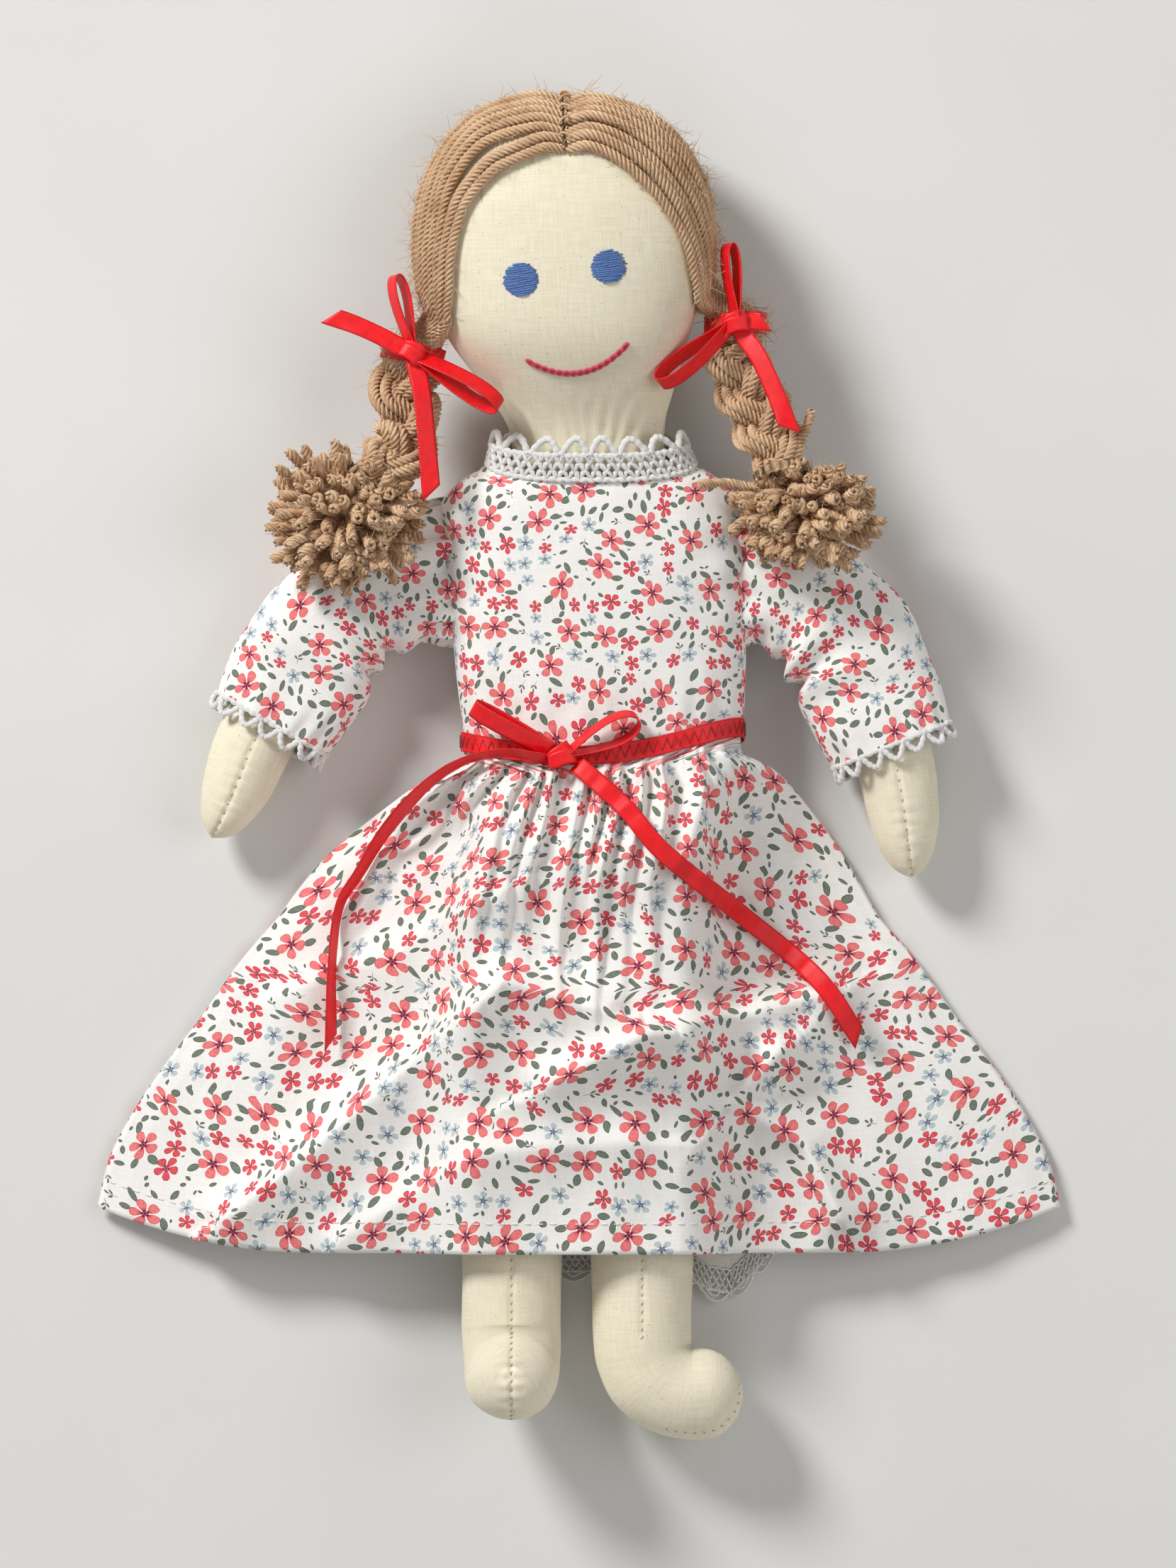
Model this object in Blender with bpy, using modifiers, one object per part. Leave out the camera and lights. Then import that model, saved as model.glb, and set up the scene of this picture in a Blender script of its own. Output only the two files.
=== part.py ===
"""Rag doll lying on its back, in metres.

+Y runs to the crown, +X to the doll's own left and +Z up to its face. The floor it lies on
is z = 0, and x = y = 0 is under the middle of the doll. A calico body is stuffed with fibre,
yarn hair hangs in two braids, and the dress is sewn over a petticoat.
"""

import math

import bmesh
import bpy
from mathutils import Vector
from mathutils.bvhtree import BVHTree

UP = Vector((0.0, 0.0, 1.0))
EAST = Vector((1.0, 0.0, 0.0))
NORTH = Vector((0.0, 1.0, 0.0))
FLAT = "flat"
SIDES = {"left": 1.0, "right": -1.0}

# Clearances
GAP = 0.0003
FLAT_CUT = 0.0005
OVERRUN = 0.006

# Calico cover of every stuffed piece
COVER = 0.0005
STUFFING_EASE = 0.0007

# Heights above the floor
LEG_LIFT = 0.0030
WAIST_LIFT = 0.0010

# Body centre line, from the hips by the waist to the collar
WAIST_X = 0.0075
COLLAR_X = 0.0038
WAIST_Y = 0.0080
BODICE_LENGTH = 0.0905
HIP_DROP = 0.0480
WAIST_TILT_SHARE = 0.084
WAIST_SAG = 0.0090

# Torso
TORSO_WIDTH = 0.0760
TORSO_DEPTH = 0.0310
TORSO_SQUARE_SHARE = 0.8
TORSO_SIDES = 16
# Along the bodice, half width, half depth
TORSO_SHARES = (
    (0.00, 0.96, 0.93),
    (0.30, 0.98, 1.00),
    (0.60, 1.00, 0.97),
    (0.78, 0.98, 0.92),
    (0.89, 0.84, 0.89),
    (0.98, 0.645, 0.88),
)
HIP_WIDTH_SHARE = 0.94
HIP_TURN_SHARES = (0.0, 0.35, 0.66, 0.87, 0.985)

# Head and neck
NECK_X = 0.0030
NECK_WIDTH = 0.0470
NECK_RISE = 0.0004
NECK_HINGE_RISE = 0.0065
HEAD_WIDTH = 0.0890
HEAD_DEPTH = 0.0500
HEAD_HEIGHT = 0.1095
HEAD_SWAY = -0.0073
HEAD_SQUARE_SHARE = 0.9
HEAD_SIDES = 20
# Along the head, half width, half depth
HEAD_SHARES = (
    (0.045, 0.530, 0.57),
    (0.14, 0.610, 0.68),
    (0.24, 0.740, 0.81),
    (0.34, 0.865, 0.91),
    (0.45, 0.960, 0.97),
    (0.57, 1.000, 1.00),
    (0.69, 0.975, 0.98),
    (0.79, 0.895, 0.90),
    (0.88, 0.750, 0.77),
    (0.945, 0.560, 0.58),
    (0.985, 0.300, 0.32),
)
WIDEST_SHARE = 0.57
NECK_DEPTH_SHARE = 0.56

# Face
EYE_WIDTH = 0.0115
EYE_HEIGHT = 0.0108
EYE_SPACING = 0.0274
EYE_Y = 0.1538
EYE_THICK = 0.0006
EYE_SIDES = 16
MOUTH_WIDTH = 0.0318
MOUTH_SAG = 0.0064
MOUTH_DROP = 0.0248
MOUTH_THREAD = 0.0018
MOUTH_STITCHES = 10
FACE_TILT = math.radians(8.5)

# Hair
HAIR_THICK = 0.0036
HAIR_EASE = 0.0007
PARTING = 0.0014
HAIR_LOW_SHARE = 0.335
HAIR_COLUMNS = 9
FACE_HALF_WIDTH = 0.0385
FACE_BASE_Y = 0.1400
FACE_ARCH = 0.0530
STITCH_THREAD = 0.0010
PARTING_STITCHES = 7

# Braids: routes by hand as (across, down, rise) shares of the braid's length
BRAID_LENGTH = 0.0450
BRAID_WIDTH = 0.0232
BRAID_DEPTH = 0.0170
BRAID_ROOT = 0.0160
BRAID_SIDES = 12
BRAID_Z = 0.0262
BRAID_PLACE_SHARES = {"left": (0.5506, 0.3699), "right": (0.5798, 0.2840)}
BRAID_ROUTE_SHARES = {
    "left": ((0.0, 0.0, 0.0), (0.0, -0.27, 0.02), (0.14, -0.58, 0.10), (0.26, -0.84, 0.20), (0.30, -1.0, 0.26)),
    "right": ((0.0, 0.0, 0.0), (-0.07, -0.27, 0.02), (-0.02, -0.55, 0.10), (0.14, -0.76, 0.20), (0.31, -0.90, 0.26)),
}
TIE_LENGTH = 0.0040
TIE_WIDTH_SHARE = 0.78
TASSEL_DEPTH = 0.0246
TASSEL_Z = 0.0388
TASSEL_WIDTH = 0.0520
TASSEL_HEIGHT = 0.0490
TASSEL_HEIGHT_SHARES = {"left": 0.8163, "right": 1.0}
TASSEL_PLACE_SHARES = {"left": (0.4889, -1.3333), "right": (0.4644, -1.1467)}

# Ribbon of the bows and the sash
RIBBON_WIDTH = 0.0060
RIBBON_THICK = 0.0006
WRAP_EASE = 0.0011
KNOT_WIDTH = 0.0062
KNOT_LENGTH = 0.0072
KNOT_THICK = 0.0046
LAYER = 0.0009
LOOP_RISE = 0.0030
RING_LOOP_WIDTH = 0.0120
# Loops and tails of the bows as (across, up, rise) shares of the span from the knot
BOW_SPAN = 0.0440
BOW_LOOP_SHARES = {
    "left": ((-0.545, -0.41, 0.12), (-0.04, 0.60, 0.02)),
    "right": ((0.625, -0.39, 0.11), (-0.14, 0.58, 0.0)),
}
BOW_TAIL_SHARES = {
    "left": (
        ((0.16, -0.25, 0.09), (0.285, -0.52, 0.15), (0.375, -0.75, 0.20)),
        ((0.11, 0.02, 0.02), (0.215, 0.0, 0.01)),
    ),
    "right": (
        ((-0.205, 0.10, 0.01), (-0.41, 0.20, 0.005), (-0.57, 0.25, -0.015)),
        ((0.06, -0.295, 0.06), (0.10, -0.635, 0.11), (0.14, -1.0, 0.135)),
    ),
}
BOW_WAY_SHARES = {"left": (-0.3, 0.95), "right": (0.5, 0.86)}
SASH_LOOP_SHARES = {"right": (-0.614, 0.341, 0.0), "left": (0.511, 0.307, 0.0)}
SASH_WAY_SHARES = (-0.4, 0.9)

# Arms: routes as (across, down, rise) shares of the arm's length from the shoulder
ARM_LENGTH = 0.1100
ARM_WIDTH = 0.0246
ARM_DEPTH = 0.0220
ARM_TOP_DEPTH = 0.0120
ARM_SIDES = 14
SHOULDER_DROP = 0.0365
SHOULDER_Z = 0.0160
ARM_Z = 0.0124
ARM_ROUTE_SHARES = {
    "left": (
        (0.0, 0.0), (0.16, -0.07), (0.27, -0.18), (0.33, -0.33),
        (0.38, -0.49), (0.41, -0.65), (0.425, -0.76), (0.44, -0.88),
    ),
    "right": (
        (0.0, 0.0), (0.17, -0.065), (0.31, -0.165), (0.415, -0.30),
        (0.505, -0.475), (0.56, -0.61), (0.60, -0.70), (0.635, -0.765),
    ),
}
# Along the arm, half width, half depth
ARM_SHARES = (
    (0.10, 1.00, 0.78),
    (0.24, 1.00, 1.00),
    (0.45, 0.98, 1.00),
    (0.68, 1.00, 1.00),
    (0.82, 0.92, 0.92),
    (0.91, 0.72, 0.76),
    (0.97, 0.42, 0.48),
)
SHOULDER_TURN_SHARES = (0.88, 0.70, 0.45, 0.15)

# Sleeves: routes as (across, down) shares of the arm's length from the shoulder
SLEEVE_WALL = 0.0006
SLEEVE_WIDTH = 0.0440
SLEEVE_DEPTH = 0.0260
SLEEVE_SQUARE_SHARE = 0.75
SLEEVE_SIDES = 20
SLEEVE_ROUTE_SHARES = {
    "left": (
        (-0.19, 0.0), (-0.02, -0.01), (0.095, -0.05), (0.204, -0.127),
        (0.285, -0.236), (0.33, -0.364), (0.382, -0.495),
    ),
    "right": (
        (-0.19, 0.0), (-0.027, -0.005), (0.10, -0.032), (0.227, -0.095),
        (0.318, -0.186), (0.377, -0.29), (0.461, -0.435),
    ),
}
SLEEVE_WIDTH_SHARES = (1.02, 1.04, 0.98, 0.92, 0.95, 1.02, 0.90)
CUFF_LACE = 0.0045
CUFF_SCALLOPS = 12
LACE_WALL = 0.0008

# Legs
LEG_SPACING = 0.0407
LEG_WIDTH = 0.0326
LEG_DEPTH = 0.0306
LEG_SIDES = 13
LEG_LENGTH = 0.1540
LEG_LENGTH_SHARES = {"left": 1.0, "right": 0.961}
LEG_CENTRE_X = -0.0006
FOOT_WIDTH_SHARE = 0.90
HEEL_BEND = 0.0160
HEEL_STEPS = 5
TOE_RUN = 0.0020
TOE_REACH = 0.0135
TOE_TURN_SHARES = (0.35, 0.65, 0.86, 0.97)
# Along the shin, half width
SHIN_SHARES = ((0.0, 0.84), (0.12, 0.95), (0.35, 1.0), (0.65, 1.0), (0.88, 0.96))

# Bodice
BODICE_WIDTH = 0.0940
BODICE_DEPTH = 0.0376
BODICE_WALL = 0.0005
BODICE_SIDES = 26
# Along the bodice, half width, half depth
BODICE_SHARES = (
    (0.00, 0.92, 0.95),
    (0.045, 0.925, 0.95),
    (0.20, 0.955, 1.00),
    (0.45, 0.98, 1.00),
    (0.66, 1.00, 0.985),
    (0.83, 1.00, 0.94),
    (0.885, 0.915, 0.91),
    (0.935, 0.775, 0.89),
    (0.975, 0.650, 0.88),
    (1.00, 0.585, 0.88),
)
ARMHOLE_HEIGHT = 0.0400
ARMHOLE_DEPTH = 0.0236

# Collar
COLLAR_HEIGHT = 0.0120
COLLAR_EASE = 0.0010
COLLAR_SCALLOPS = 12
COLLAR_RISE = 0.0045
SCALLOP = 0.0016
POINTS_PER_SCALLOP = 3

# Sash
SASH_EASE = 0.0004
SASH_KNOT_X = -0.0054
SASH_KNOT_Y = 0.0040

# Skirt
SKIRT_LENGTH = 0.1590
SKIRT_WIDTH = 0.3020
SKIRT_WALL = 0.0005
SKIRT_EDGE = 0.0056
SKIRT_TENT = 0.0190
HEM_RISE = 0.0140
HEM_CORNER_SHARE = 0.55
FRONT_STEPS = 36
BACK_STEPS = 10
LINING_FRONT_STEPS = 24
LINING_BACK_STEPS = 8
PLEATS = 7
PLEAT_HEIGHT = 0.0016
FOLD_HEIGHT = 0.0050
FOLD_SPREAD = 0.0100
# Along the skirt, half width
SKIRT_SHARES = (
    (0.0, 0.2864), (0.028, 0.2864), (0.085, 0.385), (0.16, 0.478), (0.25, 0.566), (0.35, 0.638),
    (0.45, 0.706), (0.56, 0.780), (0.67, 0.858), (0.78, 0.926), (0.89, 0.976), (1.0, 1.0),
)
# Folds of the skirt's front as (half width, along) shares
FOLD_SHARES = (
    ((-0.73, 0.94), (-0.40, 0.67), (-0.15, 0.46), (0.06, 0.52)),
    ((-0.08, 0.64), (0.13, 0.57), (0.34, 0.54), (0.48, 0.50)),
    ((0.42, 0.60), (0.32, 0.70), (0.47, 0.79), (0.54, 0.93)),
)

# Petticoat
PETTICOAT_LENGTH = 0.1580
PETTICOAT_WIDTH = 0.1360
PETTICOAT_WALL = 0.0004
PETTICOAT_EDGE = 0.0060
PETTICOAT_TOP = 0.0362
PETTICOAT_FLOOR = 0.0011
PLATEAU = 0.0300
LACE_DEPTH = 0.0110
LACE_SCALLOPS = 12
NEST = 0.0018
# Along the petticoat, half width
PETTICOAT_SHARES = (
    (0.0, 0.590), (0.04, 0.60), (0.10, 0.635), (0.18, 0.69), (0.28, 0.75), (0.42, 0.83),
    (0.60, 0.90), (0.8, 0.95), (1.0, 1.0),
)

# Sash tails as (half width, along) shares of the skirt
TAIL_SHARES = {
    "left": (
        (-0.055, 0.040), (0.045, 0.125), (0.126, 0.214), (0.285, 0.335), (0.442, 0.46),
        (0.53, 0.578),
    ),
    "right": (
        (-0.118, 0.03), (-0.20, 0.019), (-0.289, 0.036), (-0.371, 0.088), (-0.45, 0.173),
        (-0.503, 0.253), (-0.545, 0.321), (-0.56, 0.432), (-0.563, 0.587),
    ),
}
EDGEWISE_SHARE = 0.5
TAIL_REST = 0.0005

# Worked out from the sizes above
TORSO_Z = LEG_LIFT + TORSO_DEPTH / 2
HIP_Y = WAIST_Y - HIP_DROP
HEAD_Z = HEAD_DEPTH / 2 + HAIR_THICK + HAIR_EASE - FLAT_CUT
NECK_Y = WAIST_Y + BODICE_LENGTH
NECK_Z = TORSO_Z + NECK_RISE
NECK_HINGE_Y = NECK_Y + NECK_HINGE_RISE
NECK_RADIUS = math.hypot(NECK_WIDTH / 2, NECK_HINGE_RISE)
BODICE_Z = BODICE_DEPTH / 2 - FLAT_CUT
LEG_Z = LEG_LIFT + LEG_DEPTH / 2
LEG_TOP_Y = HIP_Y - TORSO_DEPTH / 2 - GAP
SHOULDER_Y = NECK_Y - SHOULDER_DROP
SKIRT_BOTTOM_Y = WAIST_Y - SKIRT_LENGTH


def smooth(share):
    """Soft step from 0 to 1."""
    held = min(max(share, 0.0), 1.0)
    return held * held * (3.0 - 2.0 * held)


def mix(start, end, share):
    return start + (end - start) * share


def read_shares(shares, along):
    """Row of a table of shares at a place along it, without its first column."""
    if along <= shares[0][0]:
        return shares[0][1:]
    for low, high in zip(shares, shares[1:]):
        if along <= high[0]:
            part = (along - low[0]) / (high[0] - low[0])
            return tuple(mix(a, b, part) for a, b in zip(low[1:], high[1:]))
    return shares[-1][1:]


def signed_power(value, power):
    return math.copysign(abs(value) ** power, value)


def oval(centre, side, up, half_side, half_up, count, square_share=1.0):
    """Ring round centre; the first point lies along up, the next ones towards side."""
    ring = []
    for step in range(count):
        turn = math.tau * step / count
        across = half_side * signed_power(math.sin(turn), square_share)
        rise = half_up * signed_power(math.cos(turn), square_share)
        ring.append(centre + side * across + up * rise)
    return ring


def resting(ring, floor):
    """The ring with what lies below floor flattened onto it."""
    return [Vector((point.x, point.y, max(point.z, floor))) for point in ring]


def smooth_route(points, steps):
    """Points along a smooth curve through the given ones, steps to each stretch."""
    ends = [points[0] * 2 - points[1]] + list(points) + [points[-1] * 2 - points[-2]]
    route = []
    for a, b, c, d in zip(ends, ends[1:], ends[2:], ends[3:]):
        for step in range(steps):
            t = step / steps
            bend = (2 * a - 5 * b + 4 * c - d) * t * t + (3 * b - a - 3 * c + d) * t ** 3
            route.append(0.5 * (2 * b + (c - a) * t + bend))
    return route + [points[-1].copy()]


def at_share(route, share):
    """Point and direction at a share of the route's length."""
    lengths = [(b - a).length for a, b in zip(route, route[1:])]
    left = sum(lengths) * share
    for a, b, length in zip(route, route[1:], lengths):
        if left <= length:
            return a.lerp(b, left / length), (b - a).normalized()
        left -= length
    return route[-1].copy(), (route[-1] - route[-2]).normalized()


def directions(route):
    """Direction of the route at each of its points."""
    before = [route[0]] + list(route[:-1])
    after = list(route[1:]) + [route[-1]]
    return [(b - a).normalized() for a, b in zip(before, after)]


def skin(rings, first=None, last=None):
    """Surface through rings of one count. An end is open, flat, or closes on a point."""
    bm = bmesh.new()
    loops = [[bm.verts.new(point) for point in ring] for ring in rings]
    count = len(rings[0])
    for low, high in zip(loops, loops[1:]):
        for i in range(count):
            j = (i + 1) % count
            bm.faces.new((low[i], low[j], high[j], high[i]))
    for loop, end in ((loops[0], first), (loops[-1], last)):
        if end == FLAT:
            bm.faces.new(loop)
        elif end is not None:
            tip = bm.verts.new(end)
            for i in range(count):
                bm.faces.new((loop[i], loop[(i + 1) % count], tip))
    bmesh.ops.recalc_face_normals(bm, faces=bm.faces)
    return bm


def sheet(rows, tip=None):
    """Open surface through rows of points, closing on tip after the last row."""
    bm = bmesh.new()
    lines = [[bm.verts.new(point) for point in row] for row in rows]
    for low, high in zip(lines, lines[1:]):
        for i in range(len(low) - 1):
            bm.faces.new((low[i], low[i + 1], high[i + 1], high[i]))
    if tip is not None:
        end = bm.verts.new(tip)
        for a, b in zip(lines[-1], lines[-1][1:]):
            bm.faces.new((a, b, end))
    bmesh.ops.recalc_face_normals(bm, faces=bm.faces)
    return bm


def turn_outward(bm, centre):
    """Points the faces of an open surface away from centre."""
    toward = sum(face.normal.dot(face.calc_center_median() - centre) for face in bm.faces)
    if toward < 0:
        bmesh.ops.reverse_faces(bm, faces=bm.faces)


def new_collection(name):
    collection = bpy.data.collections.new(name)
    bpy.context.scene.collection.children.link(collection)
    return collection


def new_material(name, colour, roughness):
    material = bpy.data.materials.new(name)
    material.use_nodes = True
    shader = material.node_tree.nodes["Principled BSDF"]
    shader.inputs["Base Color"].default_value = (*colour, 1.0)
    shader.inputs["Roughness"].default_value = roughness
    shader.inputs["Metallic"].default_value = 0.0
    return material


def new_pivot(name, place, parent=None):
    """Empty on a joint's axis, which its moving pieces are parented to."""
    pivot = bpy.data.objects.new(name, None)
    pivot.empty_display_size = ARM_DEPTH / 2
    parts.objects.link(pivot)
    pivot.parent = parent
    offset = parent.matrix_world.translation if parent else Vector()
    pivot.location = Vector(place) - offset
    bpy.context.view_layer.update()
    return pivot


def own_material(name, kind):
    """The piece's own copy of one of the doll's finishes."""
    colour, roughness = FINISHES[kind]
    return new_material(name, colour, roughness)


def add_piece(name, bm, kind, pivot=None, rounded=True):
    """Named object from a bmesh, carried by its joint's pivot."""
    mesh = bpy.data.meshes.new(name)
    bm.to_mesh(mesh)
    bm.free()
    if rounded:
        mesh.shade_smooth()
    piece = bpy.data.objects.new(name, mesh)
    piece.data.materials.append(own_material(name, kind))
    parts.objects.link(piece)
    carry(piece, pivot)
    return piece


def carry(piece, pivot):
    if pivot is not None:
        piece.parent = pivot
        piece.matrix_parent_inverse = pivot.matrix_world.inverted()


def add_cutter(name, bm):
    mesh = bpy.data.meshes.new(name)
    bm.to_mesh(mesh)
    bm.free()
    cutter = bpy.data.objects.new(name, mesh)
    cutter.hide_render = True
    cutter.display_type = "WIRE"
    cutters.objects.link(cutter)
    return cutter


def wall_inward(piece, thickness):
    solidify = piece.modifiers.new("Wall", "SOLIDIFY")
    solidify.thickness = thickness
    solidify.offset = -1.0


def cut(piece, cutter, operation="DIFFERENCE"):
    boolean = piece.modifiers.new("Cut", "BOOLEAN")
    boolean.operation = operation
    boolean.solver = "EXACT"
    boolean.object = cutter


def add_stuffed(name, rings_at, kind, pivot, last_at=None, first_core=0, centre=None):
    """A calico cover, open where it is sewn on, and the fibre stuffing inside it.

    rings_at gives the piece's rings drawn in by an inset, and last_at its closed tip.
    """
    outer = skin(rings_at(0.0), None, last_at(0.0) if last_at else FLAT)
    turn_outward(outer, centre)
    cover = add_piece(name + "_cover", outer, kind, pivot)
    wall_inward(cover, COVER)
    inset = COVER + STUFFING_EASE
    core = skin(rings_at(inset)[first_core:], FLAT, last_at(inset) if last_at else FLAT)
    stuffing = add_piece(name + "_stuffing", core, "fibre", pivot)
    return cover, stuffing


def centre_x(y):
    """Middle of the body and dress at a place along the doll."""
    if y > WAIST_Y:
        return mix(WAIST_X, COLLAR_X, (y - WAIST_Y) / BODICE_LENGTH)
    return mix(WAIST_X, 0.0, smooth((WAIST_Y - y) / (HIP_DROP + TORSO_DEPTH / 2)))


def waist_line(x, turn):
    """How far the waist seam rises at a point; only its front sags and tilts."""
    front = (1.0 + math.cos(turn)) / 2
    across = (x - WAIST_X) / (BODICE_WIDTH / 2)
    return front * (WAIST_TILT_SHARE * (x - WAIST_X) + WAIST_SAG * (across * across - 0.4))


def torso_rings(inset):
    """Torso rings from the rounded hips up to the neck."""
    rings = []
    radius = TORSO_DEPTH / 2
    for share in reversed(HIP_TURN_SHARES[1:]):
        drop = radius * share - inset
        half_depth = radius * math.sqrt(1.0 - share * share) - inset * (1.0 - share)
        centre = Vector((centre_x(HIP_Y), HIP_Y - drop, TORSO_Z))
        half_width = TORSO_WIDTH / 2 * HIP_WIDTH_SHARE * mix(1.0, 0.93, share ** 4) - inset
        rings.append(oval(centre, EAST, UP, half_width, half_depth, TORSO_SIDES, TORSO_SQUARE_SHARE))
    stations = [(HIP_Y, HIP_WIDTH_SHARE, 1.0)]
    for along, width, depth in TORSO_SHARES:
        stations.append((WAIST_Y + along * BODICE_LENGTH, width, depth))
    stations[-1] = (stations[-1][0] - inset, *stations[-1][1:])
    for y, width, depth in stations:
        centre = Vector((centre_x(y), y, TORSO_Z))
        half_width = TORSO_WIDTH / 2 * width - inset
        half_depth = TORSO_DEPTH / 2 * depth - inset
        rings.append(oval(centre, EAST, UP, half_width, half_depth, TORSO_SIDES, TORSO_SQUARE_SHARE))
    return rings


def socket_cutter(name, radius):
    """Upright drum about the neck's hinge, which hollows the torso for the neck."""
    bm = bmesh.new()
    bmesh.ops.create_cone(
        bm, cap_ends=True, segments=72, radius1=radius, radius2=radius, depth=HEAD_DEPTH * 2,
    )
    bmesh.ops.translate(bm, verts=bm.verts, vec=(NECK_X, NECK_HINGE_Y, TORSO_Z))
    return add_cutter(name, bm)


def add_torso():
    """Calico torso under the dress, hollowed at the top for the neck."""
    cover_bm = skin(torso_rings(0.0), FLAT, FLAT)
    cover = add_piece("torso_cover", cover_bm, "calico")
    wall_inward(cover, COVER)
    cut(cover, socket_cutter("neck_socket", NECK_RADIUS + GAP))
    stuffing = add_piece("torso_stuffing", skin(torso_rings(COVER + STUFFING_EASE), FLAT, FLAT), "fibre")
    cut(stuffing, socket_cutter("neck_socket_inside", NECK_RADIUS + GAP + COVER + STUFFING_EASE))


def head_centre(along):
    x = NECK_X + HEAD_SWAY * smooth(along / 0.42)
    z = mix(NECK_Z, HEAD_Z, smooth(along / 0.36))
    return x, z


def head_ring(along, grow, count=HEAD_SIDES):
    """Ring of the head at a share of its height, grown outwards."""
    width, depth = read_shares(HEAD_SHARES, along)
    x, z = head_centre(along)
    lift = grow * max(0.0, (along - WIDEST_SHARE) / (1.0 - WIDEST_SHARE))
    centre = Vector((x, NECK_Y + along * HEAD_HEIGHT + lift, z))
    half_width = HEAD_WIDTH / 2 * width + grow
    half_depth = HEAD_DEPTH / 2 * depth + grow
    return oval(centre, EAST, UP, half_width, half_depth, count, HEAD_SQUARE_SHARE)


def head_rings(inset):
    """Head rings from the neck's rounded end to the crown."""
    neck = oval(
        Vector((NECK_X, 0.0, NECK_Z)), EAST, UP, NECK_WIDTH / 2 - inset,
        HEAD_DEPTH / 2 * NECK_DEPTH_SHARE - inset, HEAD_SIDES, HEAD_SQUARE_SHARE,
    )
    for point in neck:
        reach = (NECK_RADIUS - inset) ** 2 - (point.x - NECK_X) ** 2
        point.y = NECK_HINGE_Y - math.sqrt(max(reach, 0.0))
    return [neck] + [head_ring(along, -inset) for along, _, _ in HEAD_SHARES]


def head_tip(inset):
    x, z = head_centre(1.0)
    return Vector((x, NECK_Y + HEAD_HEIGHT - inset, z))


def head_front(x, y):
    """Height of the face over the floor at a place on it."""
    along = (y - NECK_Y) / HEAD_HEIGHT
    width, depth = read_shares(HEAD_SHARES, along)
    middle, z = head_centre(along)
    across = min(abs(x - middle) / (HEAD_WIDTH / 2 * width), 1.0)
    power = 2.0 / HEAD_SQUARE_SHARE
    return z + HEAD_DEPTH / 2 * depth * (1.0 - across ** power) ** (1.0 / power)


def on_face(across, down):
    """Place on the face from its middle between the eyes, along its own tilt."""
    middle, _ = head_centre((EYE_Y - NECK_Y) / HEAD_HEIGHT)
    x = middle + across * math.cos(FACE_TILT) + down * math.sin(FACE_TILT)
    y = EYE_Y + across * math.sin(FACE_TILT) - down * math.cos(FACE_TILT)
    return x, y


def add_head(pivot):
    centre = Vector((NECK_X, NECK_Y + HEAD_HEIGHT / 2, HEAD_Z))
    add_stuffed("head", head_rings, "calico", pivot, head_tip, 1, centre)


def add_eye(name, side, pivot):
    """Satin-stitched thread disc that follows the face."""
    middle_x, middle_y = on_face(side * EYE_SPACING / 2, 0.0)
    rows = []
    for share in (0.5, 1.0):
        row = []
        for step in range(EYE_SIDES):
            turn = math.tau * step / EYE_SIDES
            x = middle_x + EYE_WIDTH / 2 * share * math.sin(turn)
            y = middle_y + EYE_HEIGHT / 2 * share * math.cos(turn)
            row.append(Vector((x, y, head_front(x, y) + GAP)))
        rows.append(row)
    bm = skin(rows, Vector((middle_x, middle_y, head_front(middle_x, middle_y) + GAP)))
    turn_outward(bm, Vector((middle_x, middle_y, 0.0)))
    eye = add_piece(name, bm, "eye_thread", pivot)
    solidify = eye.modifiers.new("Thread", "SOLIDIFY")
    solidify.thickness = EYE_THICK
    solidify.offset = 1.0


def add_wire(name, points, thickness, kind, pivot):
    """Round thread along points, as a curve with filled ends."""
    curve = bpy.data.curves.new(name, "CURVE")
    curve.dimensions = "3D"
    curve.bevel_depth = thickness / 2
    curve.bevel_resolution = 1
    curve.use_fill_caps = True
    spline = curve.splines.new("POLY")
    spline.points.add(len(points) - 1)
    for place, point in zip(spline.points, points):
        place.co = (*point, 1.0)
    wire = bpy.data.objects.new(name, curve)
    wire.data.materials.append(own_material(name, kind))
    parts.objects.link(wire)
    carry(wire, pivot)


def add_mouth(pivot):
    """Chain-stitched smile."""
    points = []
    for step in range(MOUTH_STITCHES + 1):
        across = 2.0 * step / MOUTH_STITCHES - 1.0
        down = MOUTH_DROP + MOUTH_SAG * (1.0 - across * across)
        x, y = on_face(across * MOUTH_WIDTH / 2, down)
        points.append(Vector((x, y, head_front(x, y) + GAP + MOUTH_THREAD / 2)))
    add_wire("mouth", points, MOUTH_THREAD, "mouth_thread", pivot)


def face_half_width(y):
    """Half width of the face that the hair leaves bare."""
    rise = max(y - FACE_BASE_Y, 0.0) / FACE_ARCH
    return FACE_HALF_WIDTH * math.sqrt(max(1.0 - rise * rise, 0.0))


def hair_row(along, side, grow):
    """Hair from the face's edge, or the parting, round to the parting at the back."""
    width, depth = read_shares(HEAD_SHARES, along)
    middle, z = head_centre(along)
    lift = grow * max(0.0, (along - WIDEST_SHARE) / (1.0 - WIDEST_SHARE))
    y = NECK_Y + along * HEAD_HEIGHT
    half_width = HEAD_WIDTH / 2 * width + grow
    half_depth = HEAD_DEPTH / 2 * depth + grow
    bare = min(face_half_width(y) / half_width, 0.97)
    start = math.asin(bare ** (1.0 / HEAD_SQUARE_SHARE))
    row = []
    for step in range(HAIR_COLUMNS + 1):
        turn = mix(start, math.pi, step / HAIR_COLUMNS)
        across = max(half_width * abs(math.sin(turn)) ** HEAD_SQUARE_SHARE, PARTING / 2)
        rise = half_depth * signed_power(math.cos(turn), HEAD_SQUARE_SHARE)
        row.append(Vector((middle + side * across, y + lift, max(z + rise, 0.0))))
    return row


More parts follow.
